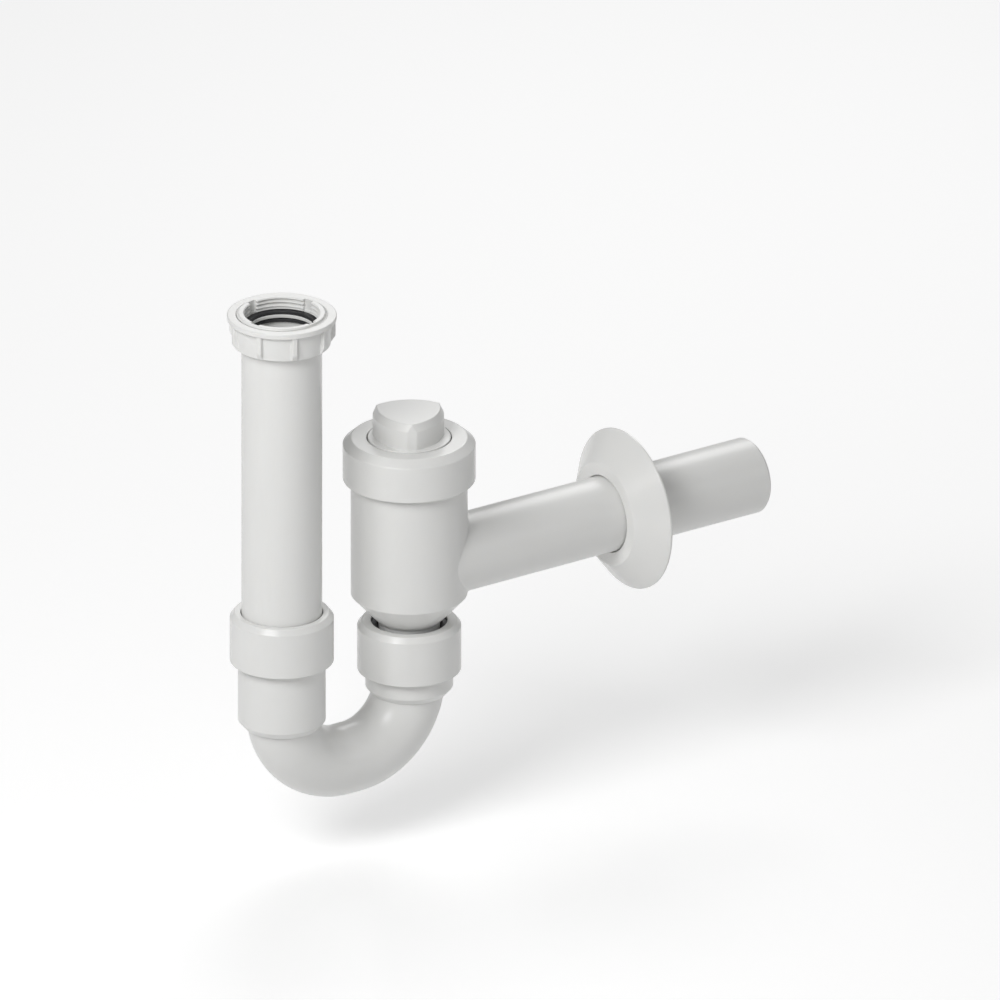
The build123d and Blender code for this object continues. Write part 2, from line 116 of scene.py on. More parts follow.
for lamp_name, facts in LAMPS.items():
    lamp_data = bpy.data.lights.new(lamp_name, "AREA")
    lamp_data.size = facts["size"]
    lamp_data.energy = facts["watts"]
    lamp = bpy.data.objects.new(lamp_name, lamp_data)
    stand(lamp, math.radians(facts["turn"]), math.radians(facts["rise"]), LAMP_DISTANCE)

world = bpy.data.worlds.new("studio")
world.use_nodes = True
world.node_tree.nodes["Background"].inputs["Color"].default_value = (1, 1, 1, 1)
world.node_tree.nodes["Background"].inputs["Strength"].default_value = WORLD_LEVEL
bpy.context.scene.world = world

# Floor: one plain pale sheet, low enough to clear the bend when it drops off the spigot. Eyes, gloss
# and glass see it a little lighter than its lit colour, and it keeps the object's shadow.
FLOOR_GAP = 0.032
FLOOR_HALF = 6.0
FLOOR_COLOUR = (0.86, 0.86, 0.86, 1)
FLOOR_ROUGHNESS = 0.9
FLOOR_LIFT = 0.30


def feed(tree, node, inputs):
    """Feed a node's inputs, given by name or number, with sockets to link to or with values of their own."""
    for label, value in inputs.items():
        if isinstance(value, bpy.types.NodeSocket):
            tree.links.new(value, node.inputs[label])
        else:
            node.inputs[label].default_value = value


def add_node(tree, kind, inputs):
    """A new shader node of a kind, with its inputs fed."""
    node = tree.nodes.new("ShaderNode" + kind)
    feed(tree, node, inputs)
    return node


def math_node(tree, operation, *values):
    """The output of a new Math node, whose inputs are the given numbers and sockets in their order."""
    node = tree.nodes.new("ShaderNodeMath")
    node.operation = operation
    feed(tree, node, dict(enumerate(values)))
    return node.outputs[0]


floor_z = CAD_BOX[0][2] - FLOOR_GAP
floor_mesh = bpy.data.meshes.new("floor")
floor_mesh.from_pydata(
    [(x * FLOOR_HALF, y * FLOOR_HALF, floor_z) for x, y in ((-1, -1), (1, -1), (1, 1), (-1, 1))],
    [],
    [(0, 1, 2, 3)],
)
floor = bpy.data.objects.new("floor", floor_mesh)
bpy.context.scene.collection.objects.link(floor)
floor_paint = bpy.data.materials.new("pale_floor")
floor_paint.use_nodes = True
floor_tree = floor_paint.node_tree
ray = add_node(floor_tree, "LightPath", {}).outputs
seen = math_node(floor_tree, "MAXIMUM", ray["Is Camera Ray"], ray["Is Glossy Ray"])
seen = math_node(floor_tree, "MAXIMUM", seen, ray["Is Transmission Ray"])
floor_look = {
    "Base Color": FLOOR_COLOUR,
    "Roughness": FLOOR_ROUGHNESS,
    "Emission Color": (1, 1, 1, 1),
    "Emission Strength": math_node(floor_tree, "MULTIPLY", seen, FLOOR_LIFT),
}
feed(floor_tree, floor_tree.nodes["Principled BSDF"], floor_look)
floor.data.materials.append(floor_paint)

# Outlet body: one white polypropylene moulding, the barrel with its cone foot, spigot and outlet tube.
# The tube leaves the barrel off its middle, in a small fillet. The split mould leaves a fine line along
# the barrel's plane.
MM = 0.001
PLASTIC_WHITE = (0.80, 0.80, 0.785, 1)
PLASTIC_CLOUD = (0.788, 0.788, 0.773225, 1)
PLASTIC_IOR = 1.49
PLASTIC_ROUGHNESS = 0.31
PLASTIC_SCALES = {"Grain Scale": 1400.0, "Flow Scale": 14.0}
PLASTIC_SWING = 0.03
SCATTER_WEIGHT = 0.12
SCATTER_RADIUS = (1.0, 0.95, 0.85)
SCATTER_SCALE = 0.0015
SKIN_DEPTH = 0.0001
SPLIT_HALF_WIDTH = 0.00022
SPLIT_SHARE = 0.8
BARREL_R = 30.35
BARREL_BORE_R = 27.85
BARREL_THREAD_R = 31.7
BARREL_THREAD_Z = 47.1
CONE_TOP_Z = -18.7
CONE_FOOT_Z = -34.3
CONE_BORE_TOP_Z = -18.02
CONE_BORE_FOOT_Z = -33.08
SPIGOT_R = 16.0
SPIGOT_BORE_R = 14.0
SPIGOT_LEAD = 2.0
OUTLET_R = 20.0
OUTLET_DRAFT_R = 20.3
OUTLET_PARALLEL_Y = 1.0
OUTLET_BORE_R = 17.8
OUTLET_LEAD = 1.4
MOUTH_LEAD = 1.0
JUNCTION_FILLET = 1.5
BORE_EDGE = 0.3
BODY_TURN = 144
WINDOW_TOP = 32.0
WINDOW_FOOT = -25.0
WINDOW_COLUMNS = (3, 51)
LEVEL_TURNS = (-64, 45)
LEVEL_R = 21.0
LEVELS = 58
LEVELS_ABOVE = 10
LEVELS_BELOW = 4
CORNER_ROOM = 0.2
FOOT_CORNER = math.radians(70)
TOP_CORNER = math.radians(60)
JUNCTION_SAMPLES = 1441
DRAFT_ROUNDS = 4
TURN_STEP = 0.001
HEIGHT_STEP = 0.01
WALL_SHARES = np.array([0.82, 0.64, 0.47, 0.32, 0.19, 0.09, 0.03, 0.0])
FILLET_SHARES = np.linspace(0, 1, 8)[1:]
TUBE_SHARES = np.linspace(0, 1, 34)[1:] ** 1.4
ARC_POINTS = 6
ARC_REACH = 0.45
SUPPORT = 0.15
SUPPORT_REACH = 0.3


def new_group(name, inputs, outputs):
    """An empty shader node group with float or vector inputs and float outputs, and its two end nodes."""
    group = bpy.data.node_groups.new(name, "ShaderNodeTree")
    for label, kind in inputs:
        group.interface.new_socket(label, in_out="INPUT", socket_type=kind)
    for label in outputs:
        group.interface.new_socket(label, in_out="OUTPUT", socket_type="NodeSocketFloat")
    return group, group.nodes.new("NodeGroupInput"), group.nodes.new("NodeGroupOutput")


def grain_group():
    """Grain is a fine even noise, like the skin of a sparked mould, and Flow is a slow cloud over it."""
    group, given, out = new_group(
        "mould_grain",
        [
            ("Vector", "NodeSocketVector"),
            ("Grain Scale", "NodeSocketFloat"),
            ("Flow Scale", "NodeSocketFloat"),
        ],
        ["Grain", "Flow"],
    )
    for label, detail in (("Grain", 2.0), ("Flow", 1.0)):
        noise = add_node(
            group,
            "TexNoise",
            {"Vector": given.outputs["Vector"], "Scale": given.outputs[label + " Scale"], "Detail": detail},
        )
        group.links.new(noise.outputs["Fac"], out.inputs[label])
    return group


def split_line_group():
    """Line is 1 where the coordinate is at the mould's split, and eases to 0 at Half Width from it."""
    group, given, out = new_group(
        "split_line",
        [
            ("Coordinate", "NodeSocketFloat"),
            ("Split At", "NodeSocketFloat"),
            ("Half Width", "NodeSocketFloat"),
        ],
        ["Line"],
    )
    away = math_node(group, "SUBTRACT", given.outputs["Coordinate"], given.outputs["Split At"])
    fall = add_node(
        group,
        "MapRange",
        {
            "Value": math_node(group, "ABSOLUTE", away),
            "From Max": given.outputs["Half Width"],
            "To Min": 1.0,
            "To Max": 0.0,
        },
    )
    fall.interpolation_type = "SMOOTHSTEP"
    group.links.new(fall.outputs["Result"], out.inputs["Line"])
    return group


MOULD_GRAIN = grain_group()
SPLIT_LINE = split_line_group()


def group_node(tree, group, inputs):
    """A node that places a group in a material's tree, with its inputs fed."""
    node = tree.nodes.new("ShaderNodeGroup")
    node.node_tree = group
    feed(tree, node, inputs)
    return node


def clouded(name, tones, roughness, swing, ior, scales, stretch=(1, 1, 1)):
    """A material with slow clouds between two tones and of gloss, and with a bump for its skin.

    scales are those of the grain group. stretch scales its pattern along each axis, so that a small number
    draws it out into lines. It returns the material, the grain's socket and the bump's node.
    """
    made = bpy.data.materials.new(name)
    made.use_nodes = True
    tree = made.node_tree
    shader = tree.nodes["Principled BSDF"]
    shader.inputs["IOR"].default_value = ior
    place = add_node(tree, "TexCoord", {})
    drawn = add_node(tree, "Mapping", {"Vector": place.outputs["Object"], "Scale": stretch})
    grain = group_node(tree, MOULD_GRAIN, {"Vector": drawn.outputs["Vector"], **scales})
    tone = tree.nodes.new("ShaderNodeMix")
    tone.data_type = "RGBA"
    feed(tree, tone, {"Factor": grain.outputs["Flow"], "A": tones[0], "B": tones[1]})
    gloss_range = {"To Min": roughness - swing, "To Max": roughness + swing}
    gloss = add_node(tree, "MapRange", {"Value": grain.outputs["Flow"], **gloss_range})
    bump = add_node(tree, "Bump", {"Distance": SKIN_DEPTH})
    tree.links.new(tone.outputs["Result"], shader.inputs["Base Color"])
    tree.links.new(gloss.outputs["Result"], shader.inputs["Roughness"])
    tree.links.new(bump.outputs["Normal"], shader.inputs["Normal"])
    return made, grain.outputs["Grain"], bump


def plastic(name, roughness=PLASTIC_ROUGHNESS, grain_share=0.25, split_at=None, stretch=(1, 1, 1)):
    """Satin moulded polypropylene: faint clouds in tone and gloss, a fine skin, and the mould's split line.

    split_at is the x of the split in metres. The roughness and its swing keep to one side of 0.27, because
    the render's denoiser draws a faint edge where a surface crosses that.
    """
    tones = (PLASTIC_CLOUD, PLASTIC_WHITE)
    made, grain, bump = clouded(
        name, tones, roughness, PLASTIC_SWING, PLASTIC_IOR, PLASTIC_SCALES, stretch
    )
    tree = made.node_tree
    shader = tree.nodes["Principled BSDF"]
    shader.inputs["Subsurface Weight"].default_value = SCATTER_WEIGHT
    shader.inputs["Subsurface Radius"].default_value = SCATTER_RADIUS
    shader.inputs["Subsurface Scale"].default_value = SCATTER_SCALE
    relief = math_node(tree, "MULTIPLY", grain, grain_share)
    if split_at is not None:
        place = add_node(tree, "TexCoord", {})
        apart = add_node(tree, "SeparateXYZ", {"Vector": place.outputs["Object"]})
        facts = {"Coordinate": apart.outputs["X"], "Split At": split_at, "Half Width": SPLIT_HALF_WIDTH}
        line = group_node(tree, SPLIT_LINE, facts)
        relief = math_node(tree, "MULTIPLY_ADD", line.outputs["Line"], SPLIT_SHARE, relief)
    tree.links.new(relief, bump.inputs["Height"])
    return made


def box_mm(node):
    """Lowest and highest corner of a node of the frame, in millimetres."""
    low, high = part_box(node)
    return np.array(low) / MM, np.array(high) / MM


def upright_line(node):
    """Where the upright line of a turned node stands: the middle of its box seen from above."""
    low, high = box_mm(node)
    return (low + high)[:2] / 2


def closed_piece(name, points, cells, paint):
    """A smooth object from points in millimetres and cells of four corners.

    The sum of a . (b x c + c x d) over the cells is six times the volume that they close, so it is
    negative where they face inward, and then they are turned over. A cell that names a corner twice in
    a row is a triangle.
    """
    points = points * MM
    a, b, c, d = (points[cells[:, k]] for k in range(4))
    if (a * (np.cross(b, c) + np.cross(c, d))).sum() < 0:
        cells = cells[:, ::-1]
    apart = cells != np.roll(cells, 1, axis=1)
    square = apart.all(1)
    triangles = cells[~square][apart[~square]].reshape(-1, 3)
    mesh = bpy.data.meshes.new(name)
    mesh.from_pydata(points.tolist(), [], cells[square].tolist() + triangles.tolist())
    mesh.polygons.foreach_set("use_smooth", np.ones(len(mesh.polygons), bool))
    mesh.materials.append(paint)
    mesh.update()
    piece = bpy.data.objects.new(name, mesh)
    bpy.context.scene.collection.objects.link(piece)
    return piece


def cells_between(number, closed=True):
    """Cells of four corners between the rows of a table of point numbers, round the columns' full turn."""
    lower = number if closed else number[:-1]
    upper = np.roll(number, -1, axis=0) if closed else number[1:]
    return np.stack([lower, np.roll(lower, -1, axis=1), np.roll(upper, -1, axis=1), upper], axis=-1)


def rounded(corners, closed=True):
    """An outline through (radius, height, corner radius) points with every corner turned into an arc.

    An arc touches both sides at radius / tan(half the corner's angle) from the corner and is drawn by
    turning one end's spoke into the other's. One more point stands a little way along each side, so
    that smooth shading stays flat between the arcs. On a short side, both keep to a share of its length.
    An open outline keeps its first and last point.
    """
    given = np.array(corners, float)
    points, radii = given[:, :2], given[:, 2]
    before = np.roll(points, 1, axis=0) - points
    after = np.roll(points, -1, axis=0) - points
    before_length = np.linalg.norm(before, axis=1)
    after_length = np.linalg.norm(after, axis=1)
    shorter = np.minimum(before_length, after_length)
    before = before / before_length[:, None]
    after = after / after_length[:, None]
    half = np.arccos(np.clip((before * after).sum(1), -1, 1)) / 2
    reach = np.minimum(radii / np.tan(half), ARC_REACH * shorter)
    radii = reach * np.tan(half)
    middle = before + after
    middle = middle / np.linalg.norm(middle, axis=1)[:, None]
    centre = points + middle * (radii / np.sin(half))[:, None]
    first = points + before * reach[:, None] - centre
    last = points + after * reach[:, None] - centre
    step = np.linspace(0, 1, ARC_POINTS)[None, :, None]
    sweep = (np.pi - 2 * half)[:, None, None]
    arcs = centre[:, None] + (
        np.sin((1 - step) * sweep) * first[:, None] + np.sin(step * sweep) * last[:, None]
    ) / np.sin(sweep)
    room = np.minimum(SUPPORT, SUPPORT_REACH * shorter)[:, None]
    head = arcs[:, 0] + before * room
    tail = arcs[:, -1] + after * room
    rows = np.concatenate([head[:, None], arcs, tail[:, None]], axis=1)
    if closed:
        return rows.reshape(-1, 2)
    return np.concatenate([points[:1], rows[1:-1].reshape(-1, 2), points[-1:]])


def open_outline(*corners):
    """A rounded outline from its first corner to its last, without these two, which only lead in and out."""
    return rounded(corners, closed=False)[1:-1]


def full_turn(count):
    """Evenly spaced angles of one whole turn, without the last, which is the first again."""
    return np.arange(count) * 2 * np.pi / count


def grid_of(x, y, z):
    """Points of three arrays that broadcast to one grid."""
    return np.stack(np.broadcast_arrays(x, y, z), axis=-1)


def upright(radius, turn, height, line):
    """Points at a radius and a turn about an upright line, at a height."""
    return grid_of(line[0] + radius * np.cos(turn), line[1] + radius * np.sin(turn), height)


def turned_rows(outline, turn, line):
    """Rows of points of an outline, radius and height, turned about an upright line."""
    return upright(outline[:, :1], turn, outline[:, 1:], line)


def level(radius, turn, y):
    """Points at a radius and a turn about the outlet's line, at a y."""
    return grid_of(radius * np.cos(turn), y, radius * np.sin(turn))


def radius_at(place, wall):
    """A wall's radius at a height, or at a y for the outlet. The wall is a table of radius by place."""
    return np.interp(place, wall[:, 1], wall[:, 0])


def on_outlet(turn, y, tube):
    """Points of the outlet's wall."""
    return level(radius_at(y, tube), turn, y)


def meeting(turn, wall, tube):
    """Where the outlet's wall runs into the barrel's, at turns round the outlet's line.

    With x and y from the barrel's line, y = sqrt(R(z)^2 - x^2). A few rounds settle the outlet's draft.
    """
    y = np.full_like(turn, BARREL_LINE[1] + BARREL_R)
    for _ in range(DRAFT_ROUNDS):
        place = on_outlet(turn, y, tube)
        aside = place[:, 0] - BARREL_LINE[0]
        y = BARREL_LINE[1] + np.sqrt(radius_at(place[:, 2], wall) ** 2 - aside**2)
    return on_outlet(turn, y, tube)


def smooth(share):
    """A share of 0 to 1, eased at both ends."""
    return share * share * (3 - 2 * share)


def short_turn(start, end):
    """The turn from one angle to another, the short way round."""
    return np.angle(np.exp(1j * (end - start)))


def unit(vectors):
    """The vectors at length one."""
    return vectors / np.linalg.norm(vectors, axis=-1, keepdims=True)


def fillet_ends(turn, wall, tube, radius):
    """Where a fillet leaves the barrel, its corner, where it reaches the outlet, and its corner's weight.

    Across the junction's tangent, one direction runs off along each wall. With p the angle between
    them, from straight on, the fillet touches both at radius * tan(p / 2), and cos(p / 2) is the weight
    that makes the curve of its three points an arc.
    """
    edge = meeting(turn, wall, tube)
    tangent = unit(meeting(turn + TURN_STEP, wall, tube) - meeting(turn - TURN_STEP, wall, tube))
    outlet_normal = level(1, turn, 0)
    rise = radius_at(edge[:, 2] + HEIGHT_STEP, wall) - radius_at(edge[:, 2] - HEIGHT_STEP, wall)
    offset = unit(edge[:, :2] - BARREL_LINE)
    barrel_normal = unit(np.column_stack([offset, -rise / (2 * HEIGHT_STEP)]))
    along_wall = np.cross(barrel_normal, tangent)
    along_wall = along_wall * np.sign((along_wall * outlet_normal).sum(1))[:, None]
    along_tube = np.cross(tangent, outlet_normal)
    along_tube = along_tube * np.sign(along_tube[:, 1])[:, None]
    bend = np.arccos(np.clip(-(along_wall * along_tube).sum(1), -1, 1))[:, None]
    reach = radius * np.tan(bend / 2)
    return edge + reach * along_wall, edge, edge + reach * along_tube, np.cos(bend / 2)


def window_heights(corner, levels):
    """Heights of a window's rows below its levels, at them and above, in even steps to its foot and top.

    A corner of the barrel's wall that lies below the levels gets rows of its own.
    """
    below = np.linspace(WINDOW_FOOT, np.append(corner, levels)[0], LEVELS_BELOW, endpoint=False)
    above = np.linspace(WINDOW_TOP, levels[-1], LEVELS_ABOVE, endpoint=False)[::-1]
    return np.append(below, corner), levels, above


def window_side(turns, foot, top, below, above):
    """A side's turns, with even steps from the foot's turn before them and to the top's turn after them."""
    before = np.linspace(foot, turns[0], below, endpoint=False)
    after = np.linspace(top, turns[-1], above, endpoint=False)[::-1]
    return np.concatenate([before, turns, after])


def branch(wall, tube, radius, below, levels, above):
    """Rows of points from the window in the barrel's wall to the outlet's end.

    The window is a rectangle of turns and heights. At the levels, a column runs level from its side to
    the fillet's start, so that the barrel's corners pass through. The other columns fan out to the rest
    of the window. A row on the wall is its share of the way from the fillet to the window. Along the
    outlet the columns ease to even turns.
    """
    # The turns at which the fillet starts at each level, on the outlet's right side and on its left. The
    # samples go once round the outlet, up its right side from its lowest line.
    samples = np.radians(np.linspace(-90, 270, JUNCTION_SAMPLES))
    start_z = fillet_ends(samples, wall, tube, radius)[0][:, 2]
    half = len(samples) // 2
    right = np.interp(levels, start_z[: half + 1], samples[: half + 1])
    left = np.interp(levels, start_z[half:][::-1], samples[half:][::-1])
    right = window_side(right, -FOOT_CORNER, TOP_CORNER, len(below), len(above))
    left = window_side(left, math.pi + FOOT_CORNER, math.pi - TOP_CORNER, len(below), len(above))
    over = np.linspace(right[-1], left[-1], len(across) + 2)[1:-1]
    under = np.linspace(left[0], right[0] + 2 * math.pi, len(across) + 2)[1:-1]
    turn = np.concatenate([right, over, left[::-1], under])
    leave, corner, reach, weight = fillet_ends(turn, wall, tube, radius)
    leave_turn = np.arctan2(leave[:, 1] - BARREL_LINE[1], leave[:, 0] - BARREL_LINE[0])
    window_turn = full_turn(BODY_TURN)[window_column]
    window_z = np.concatenate([below, levels, above])[window_row]
    share = WALL_SHARES[:, None]
    wall_turn = leave_turn + share * (window_turn - leave_turn)
    wall_z = leave[:, 2] + share * (window_z - leave[:, 2])
    on_wall = upright(radius_at(wall_z, wall), wall_turn, wall_z, BARREL_LINE)
    reach_turn = turn + short_turn(turn, np.arctan2(reach[:, 2], reach[:, 0]))
    share = FILLET_SHARES[:, None, None]
    leaving, turning, reaching = (1 - share) ** 2, 2 * share * (1 - share) * weight, share**2
    fillet = leaving * on_wall[-1] + turning * corner + reaching * on_outlet(reach_turn, reach[:, 1], tube)
    fillet = fillet / (leaving + turning + reaching)
    share = TUBE_SHARES[:, None]
    tube_turn = reach_turn + smooth(np.minimum(share * 2, 1)) * (even_turn - reach_turn)
    tube_y = reach[:, 1] + share * (tube[-1, 1] - reach[:, 1])
    return np.concatenate([on_wall, fillet, on_outlet(tube_turn, tube_y, tube)])


BARREL_LINE = upright_line("cap_seal")
INLET_LINE = upright_line("inlet_tube")
SPLIT_PLANE = BARREL_LINE[0] * MM

(_, _, spigot_end_z), (_, end_y, rim_z) = box_mm("outlet_body")
mouth_y = end_y - OUTLET_LEAD - MOUTH_LEAD

# The barrel's section, with the points of each corner in a row of their own.
section = rounded(
    [
        (BARREL_BORE_R, rim_z, 0.3),
        (BARREL_THREAD_R, rim_z, 0.5),
        (BARREL_THREAD_R, BARREL_THREAD_Z + BARREL_THREAD_R - BARREL_R, 0.3),
        (BARREL_R, BARREL_THREAD_Z, 0.3),
        (BARREL_R, CONE_TOP_Z, 0.8),
        (SPIGOT_R, CONE_FOOT_Z, 0.8),
        (SPIGOT_R, spigot_end_z + SPIGOT_LEAD, 0.4),
        ((SPIGOT_R + SPIGOT_BORE_R) / 2, spigot_end_z, 0.3),
        (SPIGOT_BORE_R, spigot_end_z, 0.2),
        (SPIGOT_BORE_R, CONE_BORE_FOOT_Z, 0.5),
        (BARREL_BORE_R, CONE_BORE_TOP_Z, 0.3),
    ]
).reshape(11, -1, 2)
outer_wall = section[3:6].reshape(-1, 2)[::-1]
inner_wall = np.concatenate([section[9:].reshape(-1, 2), [(BARREL_BORE_R, rim_z)]])
tube_wall = np.array(
    [(OUTLET_DRAFT_R, BARREL_LINE[1]), (OUTLET_R, OUTLET_PARALLEL_Y), (OUTLET_R, mouth_y)]
)
bore_wall = np.array([(OUTLET_BORE_R, BARREL_LINE[1]), (OUTLET_BORE_R, mouth_y)])

# The levels stand at the heights of even turns on a circle a little wider than the outlet. Both windows
# have the same number of rows. The cone's outer corner lies among the levels, and its inner one below.
outer_corner, inner_corner = section[4, ::-1, 1], section[10, :, 1]
outer_levels = LEVEL_R * np.sin(np.radians(np.linspace(*LEVEL_TURNS, LEVELS)))
clear = (outer_levels < outer_corner[0] - CORNER_ROOM) | (outer_levels > outer_corner[-1] + CORNER_ROOM)
outer_levels = np.sort(np.concatenate([outer_levels[clear], outer_corner]))
inner_turns = np.linspace(*LEVEL_TURNS, len(outer_levels) - len(inner_corner))
inner_levels = OUTLET_BORE_R * np.sin(np.radians(inner_turns))
outer_rows, inner_rows = window_heights([], outer_levels), window_heights(inner_corner, inner_levels)
outer_heights, inner_heights = np.concatenate(outer_rows), np.concatenate(inner_rows)

# The window's edge runs up its right side, across its top, down its left side and back along its foot.
rows = len(outer_heights)
rising = np.arange(rows)
first_column, last_column = WINDOW_COLUMNS
across = np.arange(first_column + 1, last_column)
window_row = np.concatenate([rising, 0 * across + rows - 1, rising[::-1], 0 * across])
window_column = np.concatenate([0 * rising + first_column, across, 0 * rising + last_column, across[::-1]])
from_top = np.arange(len(window_row)) - rows - (len(across) - 1) / 2
even_turn = math.pi / 2 + from_top * 2 * np.pi / len(window_row)

mouth = open_outline(
    (OUTLET_R, mouth_y, 0.1),
    (OUTLET_R, end_y - OUTLET_LEAD, 0.4),
    ((OUTLET_R + OUTLET_BORE_R) / 2, end_y, 0.3),
    (OUTLET_BORE_R, end_y, 0.2),
    (OUTLET_BORE_R, mouth_y, 0.1),
)
outside = branch(outer_wall, tube_wall, JUNCTION_FILLET, *outer_rows)
inside = branch(inner_wall, bore_wall, BORE_EDGE, *inner_rows)
tunnel = np.concatenate([outside, level(mouth[:, :1], even_turn, mouth[:, 1:]), inside[::-1]])

before_window = section[:4].reshape(-1, 2)
barrel_outline = np.concatenate(
    [
        before_window,
        np.column_stack([radius_at(outer_heights, outer_wall), outer_heights])[::-1],
        section[5:10].reshape(-1, 2),
        np.column_stack([radius_at(inner_heights, inner_wall), inner_heights]),
    ]
)
barrel = turned_rows(barrel_outline, full_turn(BODY_TURN), BARREL_LINE)
number = np.arange(barrel[..., 0].size).reshape(-1, BODY_TURN)
outer_first, inner_first = len(before_window), len(number) - rows
kept = np.ones(number.shape, bool)
for first_row in (outer_first, inner_first):
    kept[first_row : first_row + rows - 1, first_column:last_column] = False
outer_edge = number[outer_first + rows - 1 - window_row, window_column]
inner_edge = number[inner_first + window_row, window_column]
tunnel_number = number.size + np.arange(tunnel[..., 0].size).reshape(tunnel.shape[:2])
tunnel_number = np.concatenate([outer_edge[None], tunnel_number, inner_edge[None]])
outlet_body = closed_piece(
    "outlet_body_with_branch",
    np.concatenate([barrel.reshape(-1, 3), tunnel.reshape(-1, 3)]),
    np.concatenate([cells_between(number)[kept], cells_between(tunnel_number, closed=False).reshape(-1, 4)]),
    plastic("body_plastic", split_at=SPLIT_PLANE),
)
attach(outlet_body, "outlet_assembly")
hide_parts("outlet_body")

# Cap seal: a flat ring of black rubber between the barrel's rim and the cap.
# It is punched from sheet, so its faces are plain and its edges clean.
RUBBER_BLACK = (0.022, 0.022, 0.024, 1)
RUBBER_GREY = (0.0418, 0.0418, 0.0456, 1)
RUBBER_IOR = 1.52
RUBBER_SCALES = {"Grain Scale": 2200.0, "Flow Scale": 60.0}
RUBBER_SWING = 0.1
RUBBER_GRAIN = 0.8
CAP_SEAL_HOLE_R = 27.0
FINE_TURN = 144


def skin(name, grid, paint, poles=False):
    """A closed smooth object over a grid of points (rows, columns, 3) in millimetres.

    Each cell between two rows and two columns is one face, and the last column joins the first. The last
    row joins the first one too; with poles, both are drawn together into one point each instead.
    """
    rows, columns = grid.shape[:2]
    points = grid.reshape(-1, 3)
    number = np.arange(rows * columns).reshape(rows, columns)
    if poles:
        points = points[columns - 1 : 1 - columns]
        number = number - (columns - 1)
        number[0] = 0
        number[-1] = number[-2, -1] + 1
    return closed_piece(name, points, cells_between(number, not poles).reshape(-1, 4), paint)


def round_box(node):
    """Half the width of an upright round node, and its lowest and highest height, in millimetres."""
    low, high = box_mm(node)
    return (high - low)[0] / 2, low[2], high[2]


def turned(name, corners, line, paint):
    """A closed rounded outline turned about an upright line."""
    return skin(name, turned_rows(rounded(corners), full_turn(FINE_TURN), line), paint)


def washer(name, node, hole_r, line, edge_r=0.2):
    """A flat ring of sheet rubber that fills its node's box round a hole, with its edges rounded off."""
    outer_r, foot, top = round_box(node)
    corners = [(hole_r, foot, edge_r), (outer_r, foot, edge_r), (outer_r, top, edge_r), (hole_r, top, edge_r)]
    return turned(name, corners, line, sheet_rubber)


def rubber(name, roughness):
    """Soft moulded rubber: nearly black, dull, with a fine matt skin and slow greyer patches."""
    tones = (RUBBER_BLACK, RUBBER_GREY)
    made, grain, bump = clouded(name, tones, roughness, RUBBER_SWING, RUBBER_IOR, RUBBER_SCALES)
    bump.inputs["Strength"].default_value = RUBBER_GRAIN
    made.node_tree.links.new(grain, bump.inputs["Height"])
    return made


sheet_rubber = rubber("sheet_rubber", roughness=0.55)
cap_seal = washer("cap_seal_ring", "cap_seal", CAP_SEAL_HOLE_R, BARREL_LINE, edge_r=0.15)
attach(cap_seal, "outlet_assembly")
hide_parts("cap_seal")

# Clean-out cap: a thick white moulded cap, screwed down on the barrel's thread over the seal.
# Its neck hangs inside and takes the plug's coarse thread, one turn every 4 mm.
CAP_TOP_R = 30.2
CAP_BEVEL = 3.7
CAP_ROOF = 2.5
CAP_BORE_R = 31.9
CAP_MOUTH_BEVEL = 0.8
SEAT_R = 22.1
SEAT_DEPTH = 3.3
NECK_R = 22.6
NECK_FOOT = 15.4
NECK_MOUTH_R = 21.0
NECK_THREAD_ROOM = 0.5
NECK_ROOT_R = 24.2
SEAL_RIB_R = 27.6
PLUG_PITCH = 4.0
PLUG_THREAD_LOW_R = 19.35
PLUG_THREAD_HIGH_R = 20.6
PLUG_THREAD_GAP = 0.25
ROWS_A_PITCH = 14


def threaded(turn, height, pitch, root_r, crest_r, share=1):
    """A wall with a right-hand thread: a raised cosine of the height less the climb, from root to crest.

    share lowers its crests where a thread runs out.
    """
    wave = 0.5 - 0.5 * np.cos(2 * np.pi * height / pitch - turn)
    return root_r + (crest_r - root_r) * share * wave


def between(height, foot, top, run):
    """1 between two heights, easing to 0 over a run inside each of them."""
    return smooth(np.clip((height - foot) / run, 0, 1)) * smooth(np.clip((top - height) / run, 0, 1))


cap_r, cap_foot, cap_top = round_box("clean_out_cap")
seal_top = round_box("cap_seal")[2]
neck_foot = cap_top - NECK_FOOT
seat = cap_top - SEAT_DEPTH
turn = full_turn(FINE_TURN)
neck_count = int(NECK_FOOT / PLUG_PITCH * ROWS_A_PITCH)
neck_z = np.linspace(seat - NECK_THREAD_ROOM, neck_foot + NECK_THREAD_ROOM, neck_count)[:, None]
neck_wall = threaded(turn, neck_z, PLUG_PITCH, PLUG_THREAD_LOW_R, PLUG_THREAD_HIGH_R) + PLUG_THREAD_GAP
cap_outline = rounded(
    [
        (NECK_MOUTH_R, neck_foot, 0.2),
        (NECK_R, neck_foot, 0.4),
        (NECK_R, cap_top - CAP_ROOF - NECK_ROOT_R + NECK_R, 0.8),
        (NECK_ROOT_R, cap_top - CAP_ROOF, 0.8),
        (SEAL_RIB_R, cap_top - CAP_ROOF, 0.4),
        (SEAL_RIB_R, seal_top, 0.2),
        (CAP_BORE_R, seal_top, 0.3),
        (CAP_BORE_R, cap_foot + CAP_MOUTH_BEVEL, 0.2),
        (CAP_BORE_R + CAP_MOUTH_BEVEL, cap_foot, 0.2),
        (cap_r, cap_foot, 0.5),
        (cap_r, cap_top - CAP_BEVEL, 1.0),
        (CAP_TOP_R, cap_top, 1.0),
        (SEAT_R, cap_top, 0.5),
        (SEAT_R, seat, 0.2),
        (NECK_MOUTH_R, seat, 0.2),
    ],
    closed=False,
)
